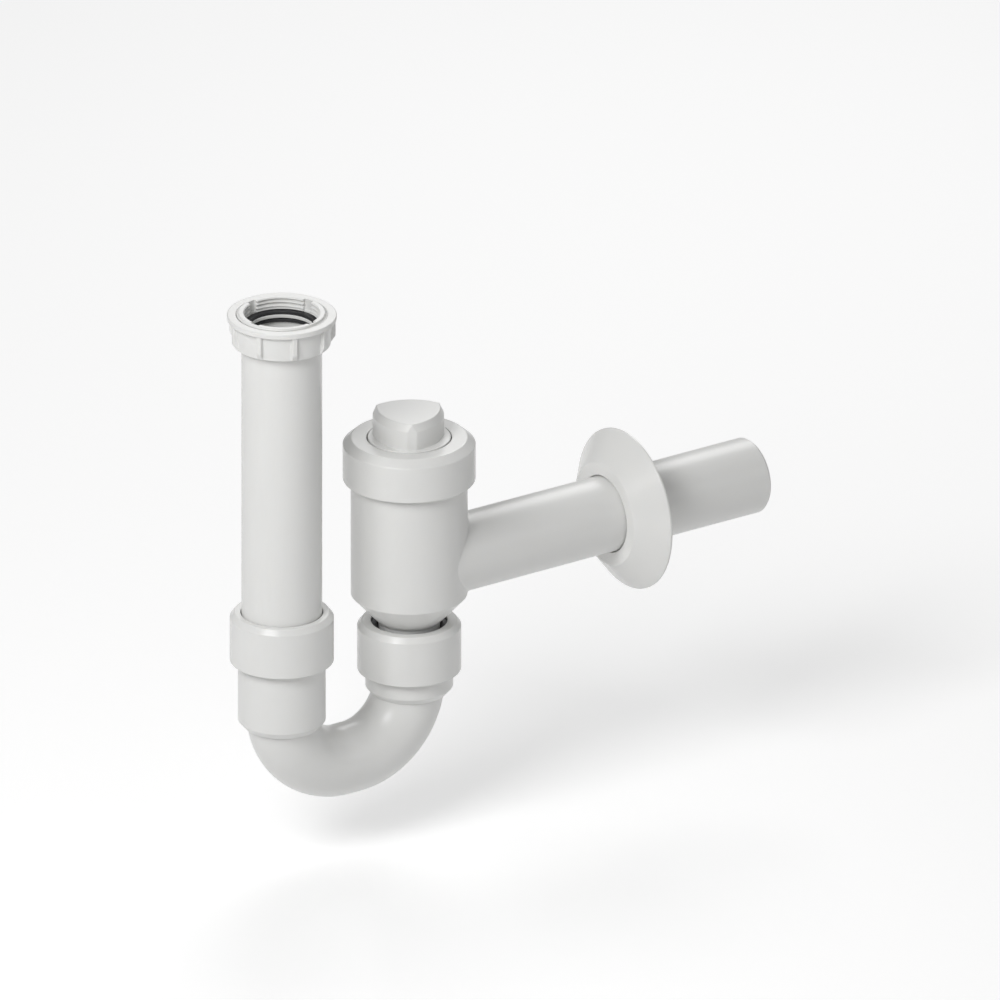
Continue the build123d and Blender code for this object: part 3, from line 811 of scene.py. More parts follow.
clean_out_cap = skin(
    "screwed_clean_out_cap",
    np.concatenate(
        [turned_rows(cap_outline, turn, BARREL_LINE), upright(neck_wall, turn, neck_z, BARREL_LINE)]
    ),
    plastic("cap_plastic", roughness=0.24, grain_share=0.18),
)
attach(clean_out_cap, "outlet_assembly")
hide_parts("clean_out_cap")

# Plug seal: a flat ring of black rubber in the cap's seat, squeezed under the plug's disc.
# Only its edge shows, as a dark line round the disc.
PLUG_SEAL_HOLE_R = 20.1

plug_seal = washer("plug_seal_ring", "plug_seal", PLUG_SEAL_HOLE_R, BARREL_LINE)
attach(plug_seal, "plug_ring")
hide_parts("plug_seal")

# Clean-out plug: a white moulding with a threaded skirt, a disc, and a hollow grip to turn it by.
# The grip has three bulging sides and three flat corners, and a bevel runs round its top.
GRIP_CORNER_R = 19.85
GRIP_SIDE_R = 17.0
GRIP_CORNER_HALF = 2.5
GRIP_FIRST_CORNER = math.radians(90)
GRIP_BEVEL_IN = 2.0
GRIP_BEVEL_DOWN = 4.0
GRIP_LEAD = 0.6
GRIP_WALL = 2.4
GRIP_CORNER_SHARE = 0.5
GRIP_HALF = math.pi / 3
GRIP_LEAST_EDGE = math.radians(0.5)
GRIP_EDGE_ANGLE = math.radians(1.2)
GRIP_BLEND = 260.0
GRIP_TOP_SHARES = np.array([0.0, 0.25, 0.5, 0.75, 0.93])
CEILING_SHARES = np.array([0.97, 0.5, 0.0])
DISC_THICK = 1.9
DISC_R = 21.6
DISC_LEAD = 1.0
SKIRT_BORE_R = 17.6
SKIRT_LENGTH = 10.0
SKIRT_PLAIN_TOP = 2.4
SKIRT_PLAIN_FOOT = 0.8
SKIRT_ROW_ROOM = 0.2
SKIRT_RUN_OUT = 1.2
HOLLOW_SHELF = 1.6
HOLLOW_HEIGHTS = np.array([0.0, 0.2, 5.0, 10.0])
CEILING_ROUND = 0.6
PLUG_TURN = 252
SIDE_STEPS = np.array([-1, -0.5, 0, 0.5, 1])
HALF_STEP_SHARE = 0.8


def edged_turn(count, middles, half_angle, side_angle):
    """Even angles of a turn, with those near each raised or sunk stretch's sides replaced by five a side."""
    even = full_turn(count)
    middles = middles[:, None]
    steps = SIDE_STEPS * side_angle
    sides = np.concatenate([middles - half_angle + steps, middles + half_angle + steps], axis=1).ravel()
    sides = np.mod(sides, 2 * np.pi)
    gap = np.abs(short_turn(sides[None], even[:, None]))
    kept = even[gap.min(axis=1) > math.pi / count * HALF_STEP_SHARE]
    return np.sort(np.concatenate([kept, sides]))


def grip_points(turn, inset, corner_inset, height):
    """Rows of the grip's outline, its sides drawn in by one inset and its three corners by another.

    A side is an arc about a point on the far side of the middle, at the distance that carries it through
    the side's middle and the corner's end. A corner is a flat across the spoke. The outline is the
    smaller of the two, blended as the sum of their powers of minus GRIP_BLEND. Seen from a corner, the
    turn is stretched in two runs, so that the same column follows the corner's edge at every inset.
    """
    corner_far = GRIP_CORNER_R**2 + GRIP_CORNER_HALF**2
    corner_along = GRIP_CORNER_R * math.cos(GRIP_HALF) + GRIP_CORNER_HALF * math.sin(GRIP_HALF)
    away = (corner_far - GRIP_SIDE_R**2) / (2 * (GRIP_SIDE_R - corner_along))
    arc = GRIP_SIDE_R + away - inset
    flat = GRIP_CORNER_R - corner_inset
    half_width = np.sqrt(arc**2 - (flat + away / 2) ** 2) - away * math.sin(GRIP_HALF)
    edge = np.maximum(np.arctan2(half_width, flat), GRIP_LEAST_EDGE)
    first_edge = math.atan2(GRIP_CORNER_HALF, GRIP_CORNER_R)
    third = np.mod(turn - GRIP_FIRST_CORNER + GRIP_HALF, 2 * GRIP_HALF) - GRIP_HALF
    beyond = (np.abs(third) - first_edge) / (GRIP_HALF - first_edge)
    moved = np.where(beyond < 0, np.abs(third) / first_edge * edge, edge + beyond * (GRIP_HALF - edge))
    to_side = GRIP_HALF - moved
    side = np.sqrt(arc**2 - (away * np.sin(to_side)) ** 2) - away * np.cos(to_side)
    corner = flat / np.cos(moved)
    least = np.minimum(side, corner)
    radius = least * ((side / least) ** -GRIP_BLEND + (corner / least) ** -GRIP_BLEND) ** (-1 / GRIP_BLEND)
    return upright(radius, turn - third + np.sign(third) * moved, height, BARREL_LINE)


def drawn_in(edge, height, shares):
    """Rows of a flat face at a height: its edge, drawn in to the barrel's line by shares of its size."""
    middle = np.array([BARREL_LINE[0], BARREL_LINE[1], height])
    return middle + (edge - middle) * shares[:, None, None]


_, plug_foot, grip_top = round_box("clean_out_plug")
disc_foot = round_box("plug_seal")[2]
disc_top = disc_foot + DISC_THICK
grip_corners = GRIP_FIRST_CORNER + full_turn(3)
turn = edged_turn(PLUG_TURN, grip_corners, math.atan2(GRIP_CORNER_HALF, GRIP_CORNER_R), GRIP_EDGE_ANGLE)
grip_sides = open_outline(
    (GRIP_CORNER_R, grip_top, 0.1),
    (GRIP_BEVEL_IN, grip_top, 0.7),
    (0.0, grip_top - GRIP_BEVEL_DOWN, 0.7),
    (0.0, disc_top, 0.5),
    (-GRIP_LEAD, disc_top, 0.1),
)
side_inset = grip_sides[:, :1]
grip_rows = grip_points(turn, side_inset, side_inset * GRIP_CORNER_SHARE, grip_sides[:, 1:])
top_rows = drawn_in(grip_rows[:1], grip_top, GRIP_TOP_SHARES)
disc_outline = open_outline(
    (DISC_R - DISC_LEAD, disc_top, 0.1),
    (DISC_R, disc_top, 0.5),
    (DISC_R, disc_foot, 0.4),
    (PLUG_THREAD_LOW_R, disc_foot, 0.3),
    (PLUG_THREAD_LOW_R, disc_foot - SKIRT_PLAIN_TOP, 0.1),
)
disc_rows = turned_rows(disc_outline, turn, BARREL_LINE)
thread_top, thread_foot = disc_foot - SKIRT_PLAIN_TOP, plug_foot + SKIRT_PLAIN_FOOT
skirt_count = int(SKIRT_LENGTH / PLUG_PITCH * ROWS_A_PITCH)
skirt_z = np.linspace(thread_top - SKIRT_ROW_ROOM, thread_foot - SKIRT_ROW_ROOM, skirt_count)[:, None]
skirt_run = between(skirt_z, thread_foot, thread_top, SKIRT_RUN_OUT)
skirt_wall = threaded(turn, skirt_z, PLUG_PITCH, PLUG_THREAD_LOW_R, PLUG_THREAD_HIGH_R, skirt_run)
skirt_rows = upright(skirt_wall, turn, skirt_z, BARREL_LINE)
foot_outline = open_outline(
    (PLUG_THREAD_LOW_R, thread_foot - SKIRT_ROW_ROOM, 0.1),
    (PLUG_THREAD_LOW_R, plug_foot, 0.4),
    (SKIRT_BORE_R, plug_foot, 0.4),
    (SKIRT_BORE_R, disc_foot, 0.4),
    (SKIRT_BORE_R - HOLLOW_SHELF, disc_foot, 0.1),
)
foot_rows = turned_rows(foot_outline, turn, BARREL_LINE)
hollow_inset = GRIP_WALL + GRIP_BEVEL_IN
ceiling_z = grip_top - GRIP_WALL
hollow_z = np.append(disc_foot + HOLLOW_HEIGHTS, ceiling_z - CEILING_ROUND)[:, None]
hollow_rows = grip_points(turn, hollow_inset, hollow_inset, hollow_z)
ceiling_edge = hollow_rows[-1:] * [1, 1, 0] + [0, 0, ceiling_z]
ceiling_rows = drawn_in(ceiling_edge, ceiling_z, CEILING_SHARES)
clean_out_plug = skin(
    "threaded_plug_with_grip",
    np.concatenate([top_rows, grip_rows, disc_rows, skirt_rows, foot_rows, hollow_rows, ceiling_rows]),
    plastic("plug_plastic"),
    poles=True,
)
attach(clean_out_plug, "plug")
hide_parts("clean_out_plug")

# Wall rosette: a flared hollow shell of white plastic that slides on the outlet tube and hides the hole
# in the wall. A short sleeve inside grips the tube.
ROSETTE_BORE_R = 20.6
ROSETTE_FACE_R = 27.35
ROSETTE_RIM = 1.2
ROSETTE_WALL = 1.6
ROSETTE_SLEEVE_R = 22.4
ROSETTE_SLEEVE = 7.9
WIDE_TURN = 216

low, high = box_mm("wall_rosette")
rosette_r = (high - low)[0] / 2
rosette_front, rosette_back = low[1], high[1]
rosette_outline = rounded(
    [
        (ROSETTE_BORE_R, rosette_front, 0.5),
        (ROSETTE_FACE_R, rosette_front, 1.4),
        (rosette_r, rosette_back - ROSETTE_RIM, 0.7),
        (rosette_r, rosette_back, 0.4),
        (rosette_r - ROSETTE_WALL, rosette_back, 0.3),
        (rosette_r - ROSETTE_WALL, rosette_back - ROSETTE_RIM, 0.3),
        (ROSETTE_FACE_R - ROSETTE_WALL / 2, rosette_front + ROSETTE_WALL, 0.6),
        (ROSETTE_SLEEVE_R, rosette_front + ROSETTE_WALL, 0.4),
        (ROSETTE_SLEEVE_R, rosette_front + ROSETTE_SLEEVE, 0.3),
        (ROSETTE_BORE_R, rosette_front + ROSETTE_SLEEVE, 0.3),
    ]
)
wall_rosette = skin(
    "flared_wall_rosette",
    level(rosette_outline[:, :1], full_turn(WIDE_TURN), rosette_outline[:, 1:]),
    plastic("rosette_plastic", roughness=0.23, grain_share=0.15),
)
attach(wall_rosette, "rosette")
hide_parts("wall_rosette")

# Outlet lip seal: a thick reducing ring of black rubber. Two lips press on the spigot, and a skirt
# stands in the socket. Its dark top shows in the retaining cap's hole.
SEAL_SEAT_DEPTH = 8.0
REDUCER_LIP_R = 16.3
REDUCER_BACK_R = 17.2
REDUCER_SKIRT_R = 21.0
SEAL_ROOM = 0.04

moulded_rubber = rubber("moulded_rubber", roughness=0.48)
seal_r, _, seal_top = round_box("outlet_lip_seal")
top = seal_top - SEAL_ROOM
outlet_lip_seal = turned(
    "outlet_reducing_lip_seal",
    [
        (seal_r, top, 0.3),
        (REDUCER_BACK_R, top, 0.3),
        (REDUCER_LIP_R, top - 1.8, 0.4),
        (REDUCER_BACK_R, top - 3.0, 0.3),
        (REDUCER_BACK_R, top - 6.0, 0.3),
        (REDUCER_LIP_R, top - 8.6, 0.4),
        (REDUCER_BACK_R, top - 9.8, 0.3),
        (REDUCER_BACK_R, top - 16.0, 0.3),
        (REDUCER_BACK_R + 1.4, top - 16.0, 0.3),
        (REDUCER_BACK_R + 1.8, top - 6.6, 0.4),
        (REDUCER_SKIRT_R - 1.4, top - 6.6, 0.4),
        (REDUCER_SKIRT_R - 1.0, top - 14.6, 0.3),
        (REDUCER_SKIRT_R, top - 14.6, 0.3),
        (REDUCER_SKIRT_R, top - SEAL_SEAT_DEPTH + 2 * SEAL_ROOM, 0.2),
        (seal_r, top - SEAL_SEAT_DEPTH + 2 * SEAL_ROOM, 0.3),
    ],
    BARREL_LINE,
    moulded_rubber,
)
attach(outlet_lip_seal, "outlet_seal")
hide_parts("outlet_lip_seal")

# U-bend: one white moulding, two elbows and a short level foot between two sockets. Each socket has a
# head that holds a seal, and a bevelled foot out of which the round tube runs.
BEND_R = 18.6
BEND_BORE_R = 16.5
ELBOW_R = 36.6
SOCKET_R = 22.8
SOCKET_BORE_R = 21.3
SOCKET_FLOOR_UP = 6.8
SOCKET_BEVEL = 3.6
SOCKET_FOOT_R = 19.7
SOCKET_LEAD = 0.5
FLOOR_LEAD = 2.0
HEAD_R = 25.2
HEAD_HEIGHT = 21.7
CHAMBER_R = 23.6
HEAD_BELOW_CAP = 1.8
TUBE_ROWS = 64
BORE_ROWS = 40
NEAR_SHARE = 0.004
ROW_GAP = 0.02
HALVINGS = 40
FOOT_STATIONS = np.array([4.65, 4.4, 3.6, 2.4, 1.2, 0.35, 0.1, -0.1, -0.35])
SOCKET_FOOT_BELOW_ELBOW = 8.2

elbow_z = round_box("u_bend")[1] + BEND_R + ELBOW_R
leg_half = (BARREL_LINE - INLET_LINE)[1] / 2
elbow_out = leg_half - ELBOW_R
socket_foot_z = elbow_z - SOCKET_FOOT_BELOW_ELBOW
turn = full_turn(WIDE_TURN)


def elbow_points(round_r, turn, down):
    """Points of an elbow, as (outward, aside, height) from the bend's middle plane.

    turn goes round the tube, with 0 on the outer side of the elbow. down is the angle below the level of
    the elbow's centre. The spoke of the elbow is ELBOW_R + round_r cos(turn).
    """
    spoke = ELBOW_R + round_r * np.cos(turn)
    return grid_of(elbow_out + spoke * np.cos(down), round_r * np.sin(turn), elbow_z - spoke * np.sin(down))


def socket_rows(radius, height):
    """Rows of a socket, turned about the leg's line at the same angles as the tube's end."""
    return grid_of(leg_half + radius * np.cos(around), radius * np.sin(around), height)


def leaving_angle(turn):
    """How far down the elbow its tube leaves the socket's bevelled foot, found by halving the interval."""
    inside, outside = np.zeros_like(turn), np.full_like(turn, math.pi / 4)
    for _ in range(HALVINGS):
        middle = (inside + outside) / 2
        place = elbow_points(BEND_R, turn, middle)
        radius = np.hypot(place[:, 0] - leg_half, place[:, 1])
        bevel = np.maximum(radius - SOCKET_FOOT_R, 0) / (SOCKET_R - SOCKET_FOOT_R) * SOCKET_BEVEL
        hidden = place[:, 2] > socket_foot_z + bevel
        inside = np.where(hidden, middle, inside)
        outside = np.where(hidden, outside, middle)
    return outside


leaving = leaving_angle(turn)
share = np.sort(np.append(np.linspace(0, 1, TUBE_ROWS), 1 - NEAR_SHARE))[:, None]
tube_rows = elbow_points(BEND_R, turn, math.pi / 2 + share * (leaving - math.pi / 2))
leaving_rim = tube_rows[-1]
around = np.arctan2(leaving_rim[:, 1], leaving_rim[:, 0] - leg_half)
rim_r = np.hypot(leaving_rim[:, 1], leaving_rim[:, 0] - leg_half)

# A station is the way from the socket's wall down its bevel and in across its foot. The tube's rim cuts
# the stations off, and rows that it cuts stay a little apart.
bevel_length = math.hypot(SOCKET_R - SOCKET_FOOT_R, SOCKET_BEVEL)
rim_station = np.where(
    rim_r < SOCKET_FOOT_R,
    bevel_length + SOCKET_FOOT_R - rim_r,
    (SOCKET_R - rim_r) / (SOCKET_R - SOCKET_FOOT_R) * bevel_length,
)
apart = ROW_GAP * np.arange(1, len(FOOT_STATIONS) + 1)[:, None]
foot_station = np.minimum(FOOT_STATIONS[:, None], rim_station - apart)
foot_radius = np.where(
    foot_station > bevel_length,
    SOCKET_FOOT_R - (foot_station - bevel_length),
    SOCKET_R - np.clip(foot_station, 0, None) / bevel_length * (SOCKET_R - SOCKET_FOOT_R),
)
foot_height = socket_foot_z + np.clip(1 - foot_station / bevel_length, 0, None) * SOCKET_BEVEL
foot_rows = socket_rows(foot_radius, foot_height)

bore_leaving = np.arcsin((SOCKET_FOOT_BELOW_ELBOW - SOCKET_FLOOR_UP) / (ELBOW_R + BEND_BORE_R * np.cos(turn)))
bore_share = np.sort(np.append(np.linspace(0, 1, BORE_ROWS), NEAR_SHARE))[:, None]
bore_rows = elbow_points(BEND_BORE_R, turn, bore_leaving + bore_share * (math.pi / 2 - bore_leaving))


def bend_half(head_top, direction):
    """Rows of one half of the bend, from its middle over the outside to the head and back by the bore."""
    shoulder = head_top - HEAD_HEIGHT
    floor_z = socket_foot_z + SOCKET_FLOOR_UP
    outline = open_outline(
        (SOCKET_R, socket_foot_z + SOCKET_BEVEL + SOCKET_LEAD, 0.1),
        (SOCKET_R, shoulder, 0.3),
        (HEAD_R, shoulder, 0.4),
        (HEAD_R, head_top, 0.5),
        (CHAMBER_R, head_top, 0.3),
        (CHAMBER_R, head_top - SEAL_SEAT_DEPTH, 0.2),
        (SOCKET_BORE_R, head_top - SEAL_SEAT_DEPTH, 0.3),
        (SOCKET_BORE_R, floor_z, 0.5),
        (BEND_BORE_R + FLOOR_LEAD, floor_z, 0.1),
    )
    socket = socket_rows(outline[:, :1], outline[:, 1:])
    outward, aside, height = np.moveaxis(np.concatenate([tube_rows, foot_rows, socket, bore_rows]), -1, 0)
    return grid_of(BARREL_LINE[0] + aside, INLET_LINE[1] + leg_half + direction * outward, height)


outlet_half = bend_half(round_box("outlet_retaining_cap")[2] - HEAD_BELOW_CAP, 1)
inlet_half = bend_half(round_box("inlet_retaining_cap")[2] - HEAD_BELOW_CAP, -1)
u_bend = skin(
    "double_socket_u_bend",
    np.concatenate([outlet_half, inlet_half[::-1]]),
    plastic("bend_plastic", split_at=SPLIT_PLANE),
)
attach(u_bend, "bend")
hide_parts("u_bend")

# Retaining caps: two smooth bevelled caps of white plastic, snapped down over the sockets' heads so
# that a bead inside catches under the shoulder. Each holds its lip seal in.
CAP_HEIGHT = 27.0
CAP_EDGE_R = 24.6
CAP_EDGE_DOWN = 2.86
CAP_ROOF_THICK = 1.8
CAP_INSIDE_R = 25.4
CAP_BEAD_R = 23.6
CAP_BEAD = 1.2
CAP_BEAD_ROOM = 0.05
CAP_MOUTH_R = 25.2
CAP_HOLES = {"inlet_retaining_cap": 21.4, "outlet_retaining_cap": 19.8}
CAP_LINES = {"inlet_retaining_cap": INLET_LINE, "outlet_retaining_cap": BARREL_LINE}

retainer_plastic = plastic("retainer_plastic", roughness=0.24, grain_share=0.15)
for node, hole_r in CAP_HOLES.items():
    retainer_r, _, top = round_box(node)
    roof = top - CAP_ROOF_THICK
    shoulder = roof - HEAD_HEIGHT
    retainer = turned(
        node + "_smooth",
        [
            (hole_r, top, 0.4),
            (CAP_EDGE_R, top, 0.8),
            (retainer_r, top - CAP_EDGE_DOWN, 0.8),
            (retainer_r, top - CAP_HEIGHT, 0.5),
            (CAP_MOUTH_R, top - CAP_HEIGHT, 0.3),
            (CAP_BEAD_R, shoulder - CAP_BEAD, 0.2),
            (CAP_BEAD_R, shoulder - CAP_BEAD_ROOM, 0.15),
            (CAP_INSIDE_R, shoulder - CAP_BEAD_ROOM, 0.15),
            (CAP_INSIDE_R, roof, 0.2),
            (hole_r, roof, 0.3),
        ],
        CAP_LINES[node],
        retainer_plastic,
    )
    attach(retainer, "bend")
    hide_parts(node)

# Inlet lip seal: a slim ring of black rubber with two lips, under the inlet's retaining cap.
# It grips the inlet tube, which slides and turns in it.
SLIM_LIP_R = 21.3
SLIM_BACK_R = 22.0

seal_r, seal_foot, seal_top = round_box("inlet_lip_seal")
top, foot = seal_top - SEAL_ROOM, seal_foot + SEAL_ROOM
inlet_lip_seal = turned(
    "inlet_slim_lip_seal",
    [
        (seal_r, top, 0.3),
        (SLIM_BACK_R, top, 0.3),
        (SLIM_LIP_R, top - 1.6, 0.3),
        (SLIM_BACK_R, top - 2.6, 0.3),
        (SLIM_BACK_R, top - 4.4, 0.3),
        (SLIM_LIP_R, top - 6.4, 0.3),
        (SLIM_BACK_R, top - 7.2, 0.2),
        (SLIM_BACK_R, foot, 0.2),
        (seal_r, foot, 0.3),
    ],
    INLET_LINE,
    moulded_rubber,
)
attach(inlet_lip_seal, "inlet_seal")
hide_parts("inlet_lip_seal")

# Inlet tube: a plain tube of white polypropylene, drawn to size and cut, with a flange turned out at
# its top for the union nut. Drawing leaves faint lines along it.
TUBE_R = 21.0
TUBE_BORE_R = 19.0
FLANGE_THICK = 2.2
TUBE_LEAD = 1.0
TUBE_DRAWN = (1, 1, 0.02)

flange_r, tube_foot, tube_top = round_box("inlet_tube")
drawn_plastic = plastic("drawn_tube_plastic", roughness=0.235, grain_share=0.3, stretch=TUBE_DRAWN)
inlet_tube = turned(
    "flanged_inlet_tube",
    [
        (TUBE_BORE_R, tube_foot, 0.2),
        (TUBE_R - TUBE_LEAD, tube_foot, 0.3),
        (TUBE_R, tube_foot + TUBE_LEAD, 0.4),
        (TUBE_R, tube_top - FLANGE_THICK, 0.5),
        (flange_r, tube_top - FLANGE_THICK, 0.4),
        (flange_r, tube_top, 0.4),
        (TUBE_BORE_R, tube_top, 0.6),
    ],
    INLET_LINE,
    drawn_plastic,
)
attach(inlet_tube, "inlet")
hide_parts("inlet_tube")

# Union gasket: a flat ring of black rubber with a bevelled hole, on the tube's flange inside the nut.
# The adapter ring is screwed down on it.
UNION_GASKET_HOLE_R = 17.5
UNION_GASKET_BEVEL_R = 19.5
UNION_GASKET_BEVEL = 1.0

gasket_r, gasket_foot, gasket_top = round_box("union_gasket")
union_gasket = turned(
    "union_bevelled_gasket",
    [
        (UNION_GASKET_HOLE_R, gasket_foot, 0.2),
        (gasket_r, gasket_foot, 0.2),
        (gasket_r, gasket_top, 0.2),
        (UNION_GASKET_BEVEL_R, gasket_top, 0.3),
        (UNION_GASKET_HOLE_R, gasket_top - UNION_GASKET_BEVEL, 0.3),
    ],
    INLET_LINE,
    sheet_rubber,
)
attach(union_gasket, "inlet")
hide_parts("union_gasket")

# Union nut: a white moulded nut with a rim and nine grip ribs. A floor hooks under the tube's flange,
# and the pipe thread of 47.8 mm in its mouth climbs 2.309 mm a turn.
PIPE_PITCH = 2.309
UNION_ROOT_R = 22.42
UNION_CREST_R = 23.86
UNION_GAP = 0.14
UNION_THREAD_DEPTH = 6.8
UNION_MOUTH_R = 24.1
UNION_MOUTH_BEVEL = 0.6
UNION_FIRST_ROW = 0.75
UNDERCUT_R = 24.1
UNDERCUT_LEAD = 0.3
NUT_FLOOR = 2.0
NUT_HOLE_R = 21.3
NUT_RIM_THICK = 2.8
NUT_SKIRT_TOP_R = 26.3
NUT_SKIRT_FOOT_R = 25.4
RIB_R = 28.0
RIB_SLOPE = 3.6
RIB_COUNT = 9
RIB_HALF_WIDTH = 1.45
RIB_HALF_ANGLE = math.asin(RIB_HALF_WIDTH / RIB_R)
RIB_SIDE_ANGLE = math.radians(0.45)
FIRST_RIB = math.radians(20)
RIB_SHARE = 0.95
RIB_INNER_R = 24.6
RIB_TOP_ROOM = 0.01
NUT_ROW_GAP = 0.9


def sampled(outline, spacing):
    """The same outline with points added so that none are further apart than the spacing, by length run."""
    run = np.append(0, np.cumsum(np.linalg.norm(np.diff(outline, axis=0), axis=1)))
    stations = np.unique(np.concatenate([run, np.arange(0, run[-1], spacing)]).round(3))
    return np.stack([np.interp(stations, run, outline[:, k]) for k in range(2)], axis=1)


def stretch_mask(turn, middles, half_angle, side_angle):
    """1 within half_angle of the nearest middle and 0 outside it, easing over side_angle to each side."""
    away = np.abs(short_turn(middles[None], turn[:, None])).min(axis=1)
    return smooth(np.clip((half_angle + side_angle - away) / (2 * side_angle), 0, 1))


nut_rim_r, nut_foot, nut_top = round_box("union_nut")
nut_outline = sampled(
    rounded(
        [
            (UNDERCUT_R, nut_top - UNION_THREAD_DEPTH - UNDERCUT_LEAD, 0.1),
            (UNDERCUT_R, nut_foot + NUT_FLOOR, 0.3),
            (NUT_HOLE_R, nut_foot + NUT_FLOOR, 0.3),
            (NUT_HOLE_R, nut_foot, 0.3),
            (NUT_SKIRT_FOOT_R, nut_foot, 0.4),
            (NUT_SKIRT_TOP_R, nut_top - NUT_RIM_THICK, 0.3),
            (nut_rim_r, nut_top - NUT_RIM_THICK, 0.5),
            (nut_rim_r, nut_top, 0.6),
            (UNION_MOUTH_R, nut_top, 0.3),
            (UNION_MOUTH_R - UNION_MOUTH_BEVEL, nut_top - UNION_MOUTH_BEVEL, 0.1),
        ],
        closed=False,
    ),
    NUT_ROW_GAP,
)
rib_middles = FIRST_RIB + full_turn(RIB_COUNT)
nut_turn = edged_turn(WIDE_TURN, rib_middles, RIB_HALF_ANGLE, RIB_SIDE_ANGLE)
raised = stretch_mask(nut_turn, rib_middles, RIB_HALF_ANGLE, RIB_SIDE_ANGLE)
outline_r, outline_z = nut_outline[:, :1], nut_outline[:, 1:]
rib_top = np.interp(outline_z, [nut_foot, nut_foot + RIB_SLOPE], [NUT_SKIRT_FOOT_R, RIB_R])
on_skirt = (outline_r > RIB_INNER_R) & (outline_z < nut_top - NUT_RIM_THICK + RIB_TOP_ROOM)
lifted = RIB_SHARE * np.maximum(rib_top - outline_r, 0)
nut_wall = outline_r + raised * np.where(on_skirt, lifted, 0)
union_step = PIPE_PITCH / ROWS_A_PITCH
union_z = np.arange(nut_top - UNION_FIRST_ROW, nut_top - UNION_THREAD_DEPTH, -union_step)[:, None]
union_wall = threaded(nut_turn, union_z, PIPE_PITCH, UNION_ROOT_R, UNION_CREST_R) + UNION_GAP
union_wall = np.maximum(union_wall, UNION_MOUTH_R - (nut_top - union_z))
union_nut = skin(
    "ribbed_union_nut",
    np.concatenate(
        [
            upright(nut_wall, nut_turn, outline_z, INLET_LINE),
            upright(union_wall, nut_turn, union_z, INLET_LINE),
        ]
    ),
    plastic("nut_plastic"),
)
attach(union_nut, "nut")
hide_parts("union_nut")

# Adapter ring: a white moulded reducing ring, screwed into the union nut by its outer thread. Its inner
# thread of 41.9 mm takes the basin's waste, and four slots take a key.
ADAPTER_ROOT_R = 19.48
ADAPTER_CREST_R = 20.92
ADAPTER_LIP_R = 16.6
ADAPTER_LIP_THICK = 1.8
ADAPTER_RELIEF_R = 20.6
ADAPTER_RELIEF_TOP = 4.0
ADAPTER_MOUTH = 0.6
SLOT_COUNT = 4
SLOT_DEEP_R = 21.6
SLOT_MIDDLE_R = 20.5
SLOT_HALF_WIDTH = 2.7
SLOT_HALF_ANGLE = math.asin(SLOT_HALF_WIDTH / SLOT_MIDDLE_R)
SLOT_SIDE_ANGLE = math.radians(0.35)
FIRST_SLOT = math.radians(14)
SLOT_SHARE = 0.985
SLOT_FOOT_ROOM = 0.02
RING_EDGE_ROOM = 0.5
RING_ROW_GAP = 0.3
OUTER_RUN_OUT = 0.9
INNER_RUN_OUT = 0.6
RELIEF_LEAD = 0.05
INNER_LEAD = 0.1

_, ring_foot, ring_top = round_box("adapter_ring")
slot_middles = FIRST_SLOT + full_turn(SLOT_COUNT)
ring_turn = edged_turn(WIDE_TURN, slot_middles, SLOT_HALF_ANGLE, SLOT_SIDE_ANGLE)
sunk = stretch_mask(ring_turn, slot_middles, SLOT_HALF_ANGLE, SLOT_SIDE_ANGLE)
outer_z = np.arange(ring_foot + RING_EDGE_ROOM, ring_top - RING_EDGE_ROOM, union_step)[:, None]
outer_run = between(outer_z, ring_foot + RING_EDGE_ROOM, ring_top - RING_EDGE_ROOM, OUTER_RUN_OUT)
outer_wall = threaded(ring_turn, outer_z, PIPE_PITCH, UNION_ROOT_R, UNION_CREST_R, outer_run)
ring_top_outline = sampled(
    rounded(
        [
            (UNION_ROOT_R, ring_top - RING_EDGE_ROOM, 0.1),
            (UNION_ROOT_R, ring_top, 0.35),
            (ADAPTER_ROOT_R + ADAPTER_MOUTH, ring_top, 0.2),
            (ADAPTER_ROOT_R, ring_top - ADAPTER_MOUTH, 0.1),
        ],
        closed=False,
    )[1:],
    RING_ROW_GAP,
)
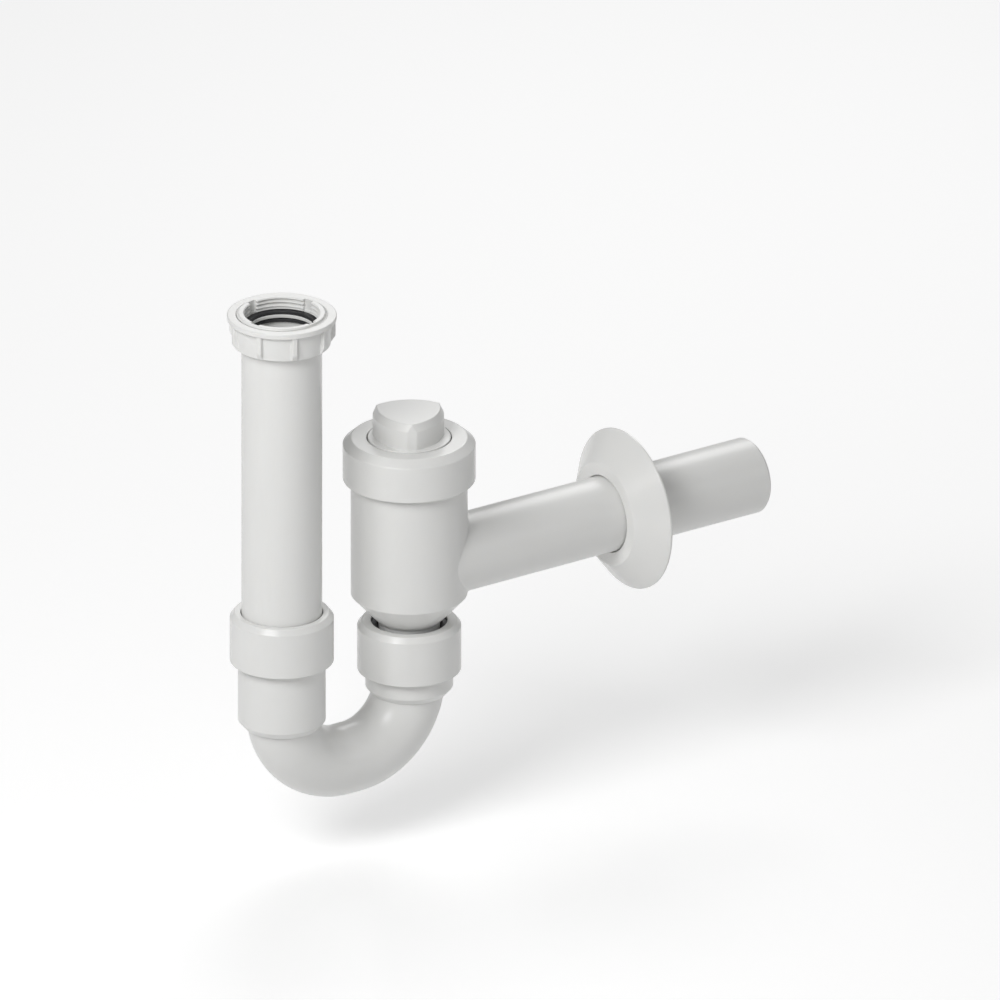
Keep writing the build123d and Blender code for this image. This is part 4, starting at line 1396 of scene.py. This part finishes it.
relief_top = ring_foot + ADAPTER_RELIEF_TOP
inner_first = ring_top - ADAPTER_MOUTH - INNER_LEAD
inner_z = np.arange(inner_first, relief_top + RELIEF_LEAD, -union_step)[:, None]
inner_run = between(inner_z, relief_top - INNER_RUN_OUT, ring_top - ADAPTER_MOUTH, INNER_RUN_OUT)
inner_wall = threaded(ring_turn, inner_z, PIPE_PITCH, ADAPTER_ROOT_R, ADAPTER_CREST_R, inner_run)
ring_foot_outline = open_outline(
    (ADAPTER_ROOT_R, relief_top + RELIEF_LEAD, 0.1),
    (ADAPTER_ROOT_R, relief_top, 0.05),
    (ADAPTER_RELIEF_R, relief_top, 0.15),
    (ADAPTER_RELIEF_R, ring_foot + ADAPTER_LIP_THICK, 0.2),
    (ADAPTER_LIP_R, ring_foot + ADAPTER_LIP_THICK, 0.3),
    (ADAPTER_LIP_R, ring_foot, 0.3),
    (UNION_ROOT_R, ring_foot, 0.35),
    (UNION_ROOT_R, ring_foot + RING_EDGE_ROOM, 0.1),
)
every_turn = np.zeros_like(ring_turn)
ring_wall = np.concatenate(
    [outer_wall, ring_top_outline[:, :1] + every_turn, inner_wall, ring_foot_outline[:, :1] + every_turn]
)
ring_z = np.concatenate([outer_z, ring_top_outline[:, 1:], inner_z, ring_foot_outline[:, 1:]])
cut = SLOT_SHARE * np.maximum(SLOT_DEEP_R - ring_wall, 0)
ring_wall = ring_wall + sunk * np.where(ring_z > relief_top - SLOT_FOOT_ROOM, cut, 0)
adapter_ring = skin(
    "threaded_adapter_ring",
    upright(ring_wall, ring_turn, ring_z, INLET_LINE),
    plastic("ring_plastic"),
)
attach(adapter_ring, "adapter")
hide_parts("adapter_ring")

# Adapter gasket: a flat washer of black rubber on the ring's lip, which the end of the basin's waste
# is screwed down on.
ADAPTER_WASHER_HOLE_R = 16.9

adapter_gasket = washer("adapter_flat_washer", "adapter_gasket", ADAPTER_WASHER_HOLE_R, INLET_LINE)
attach(adapter_gasket, "adapter")
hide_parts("adapter_gasket")
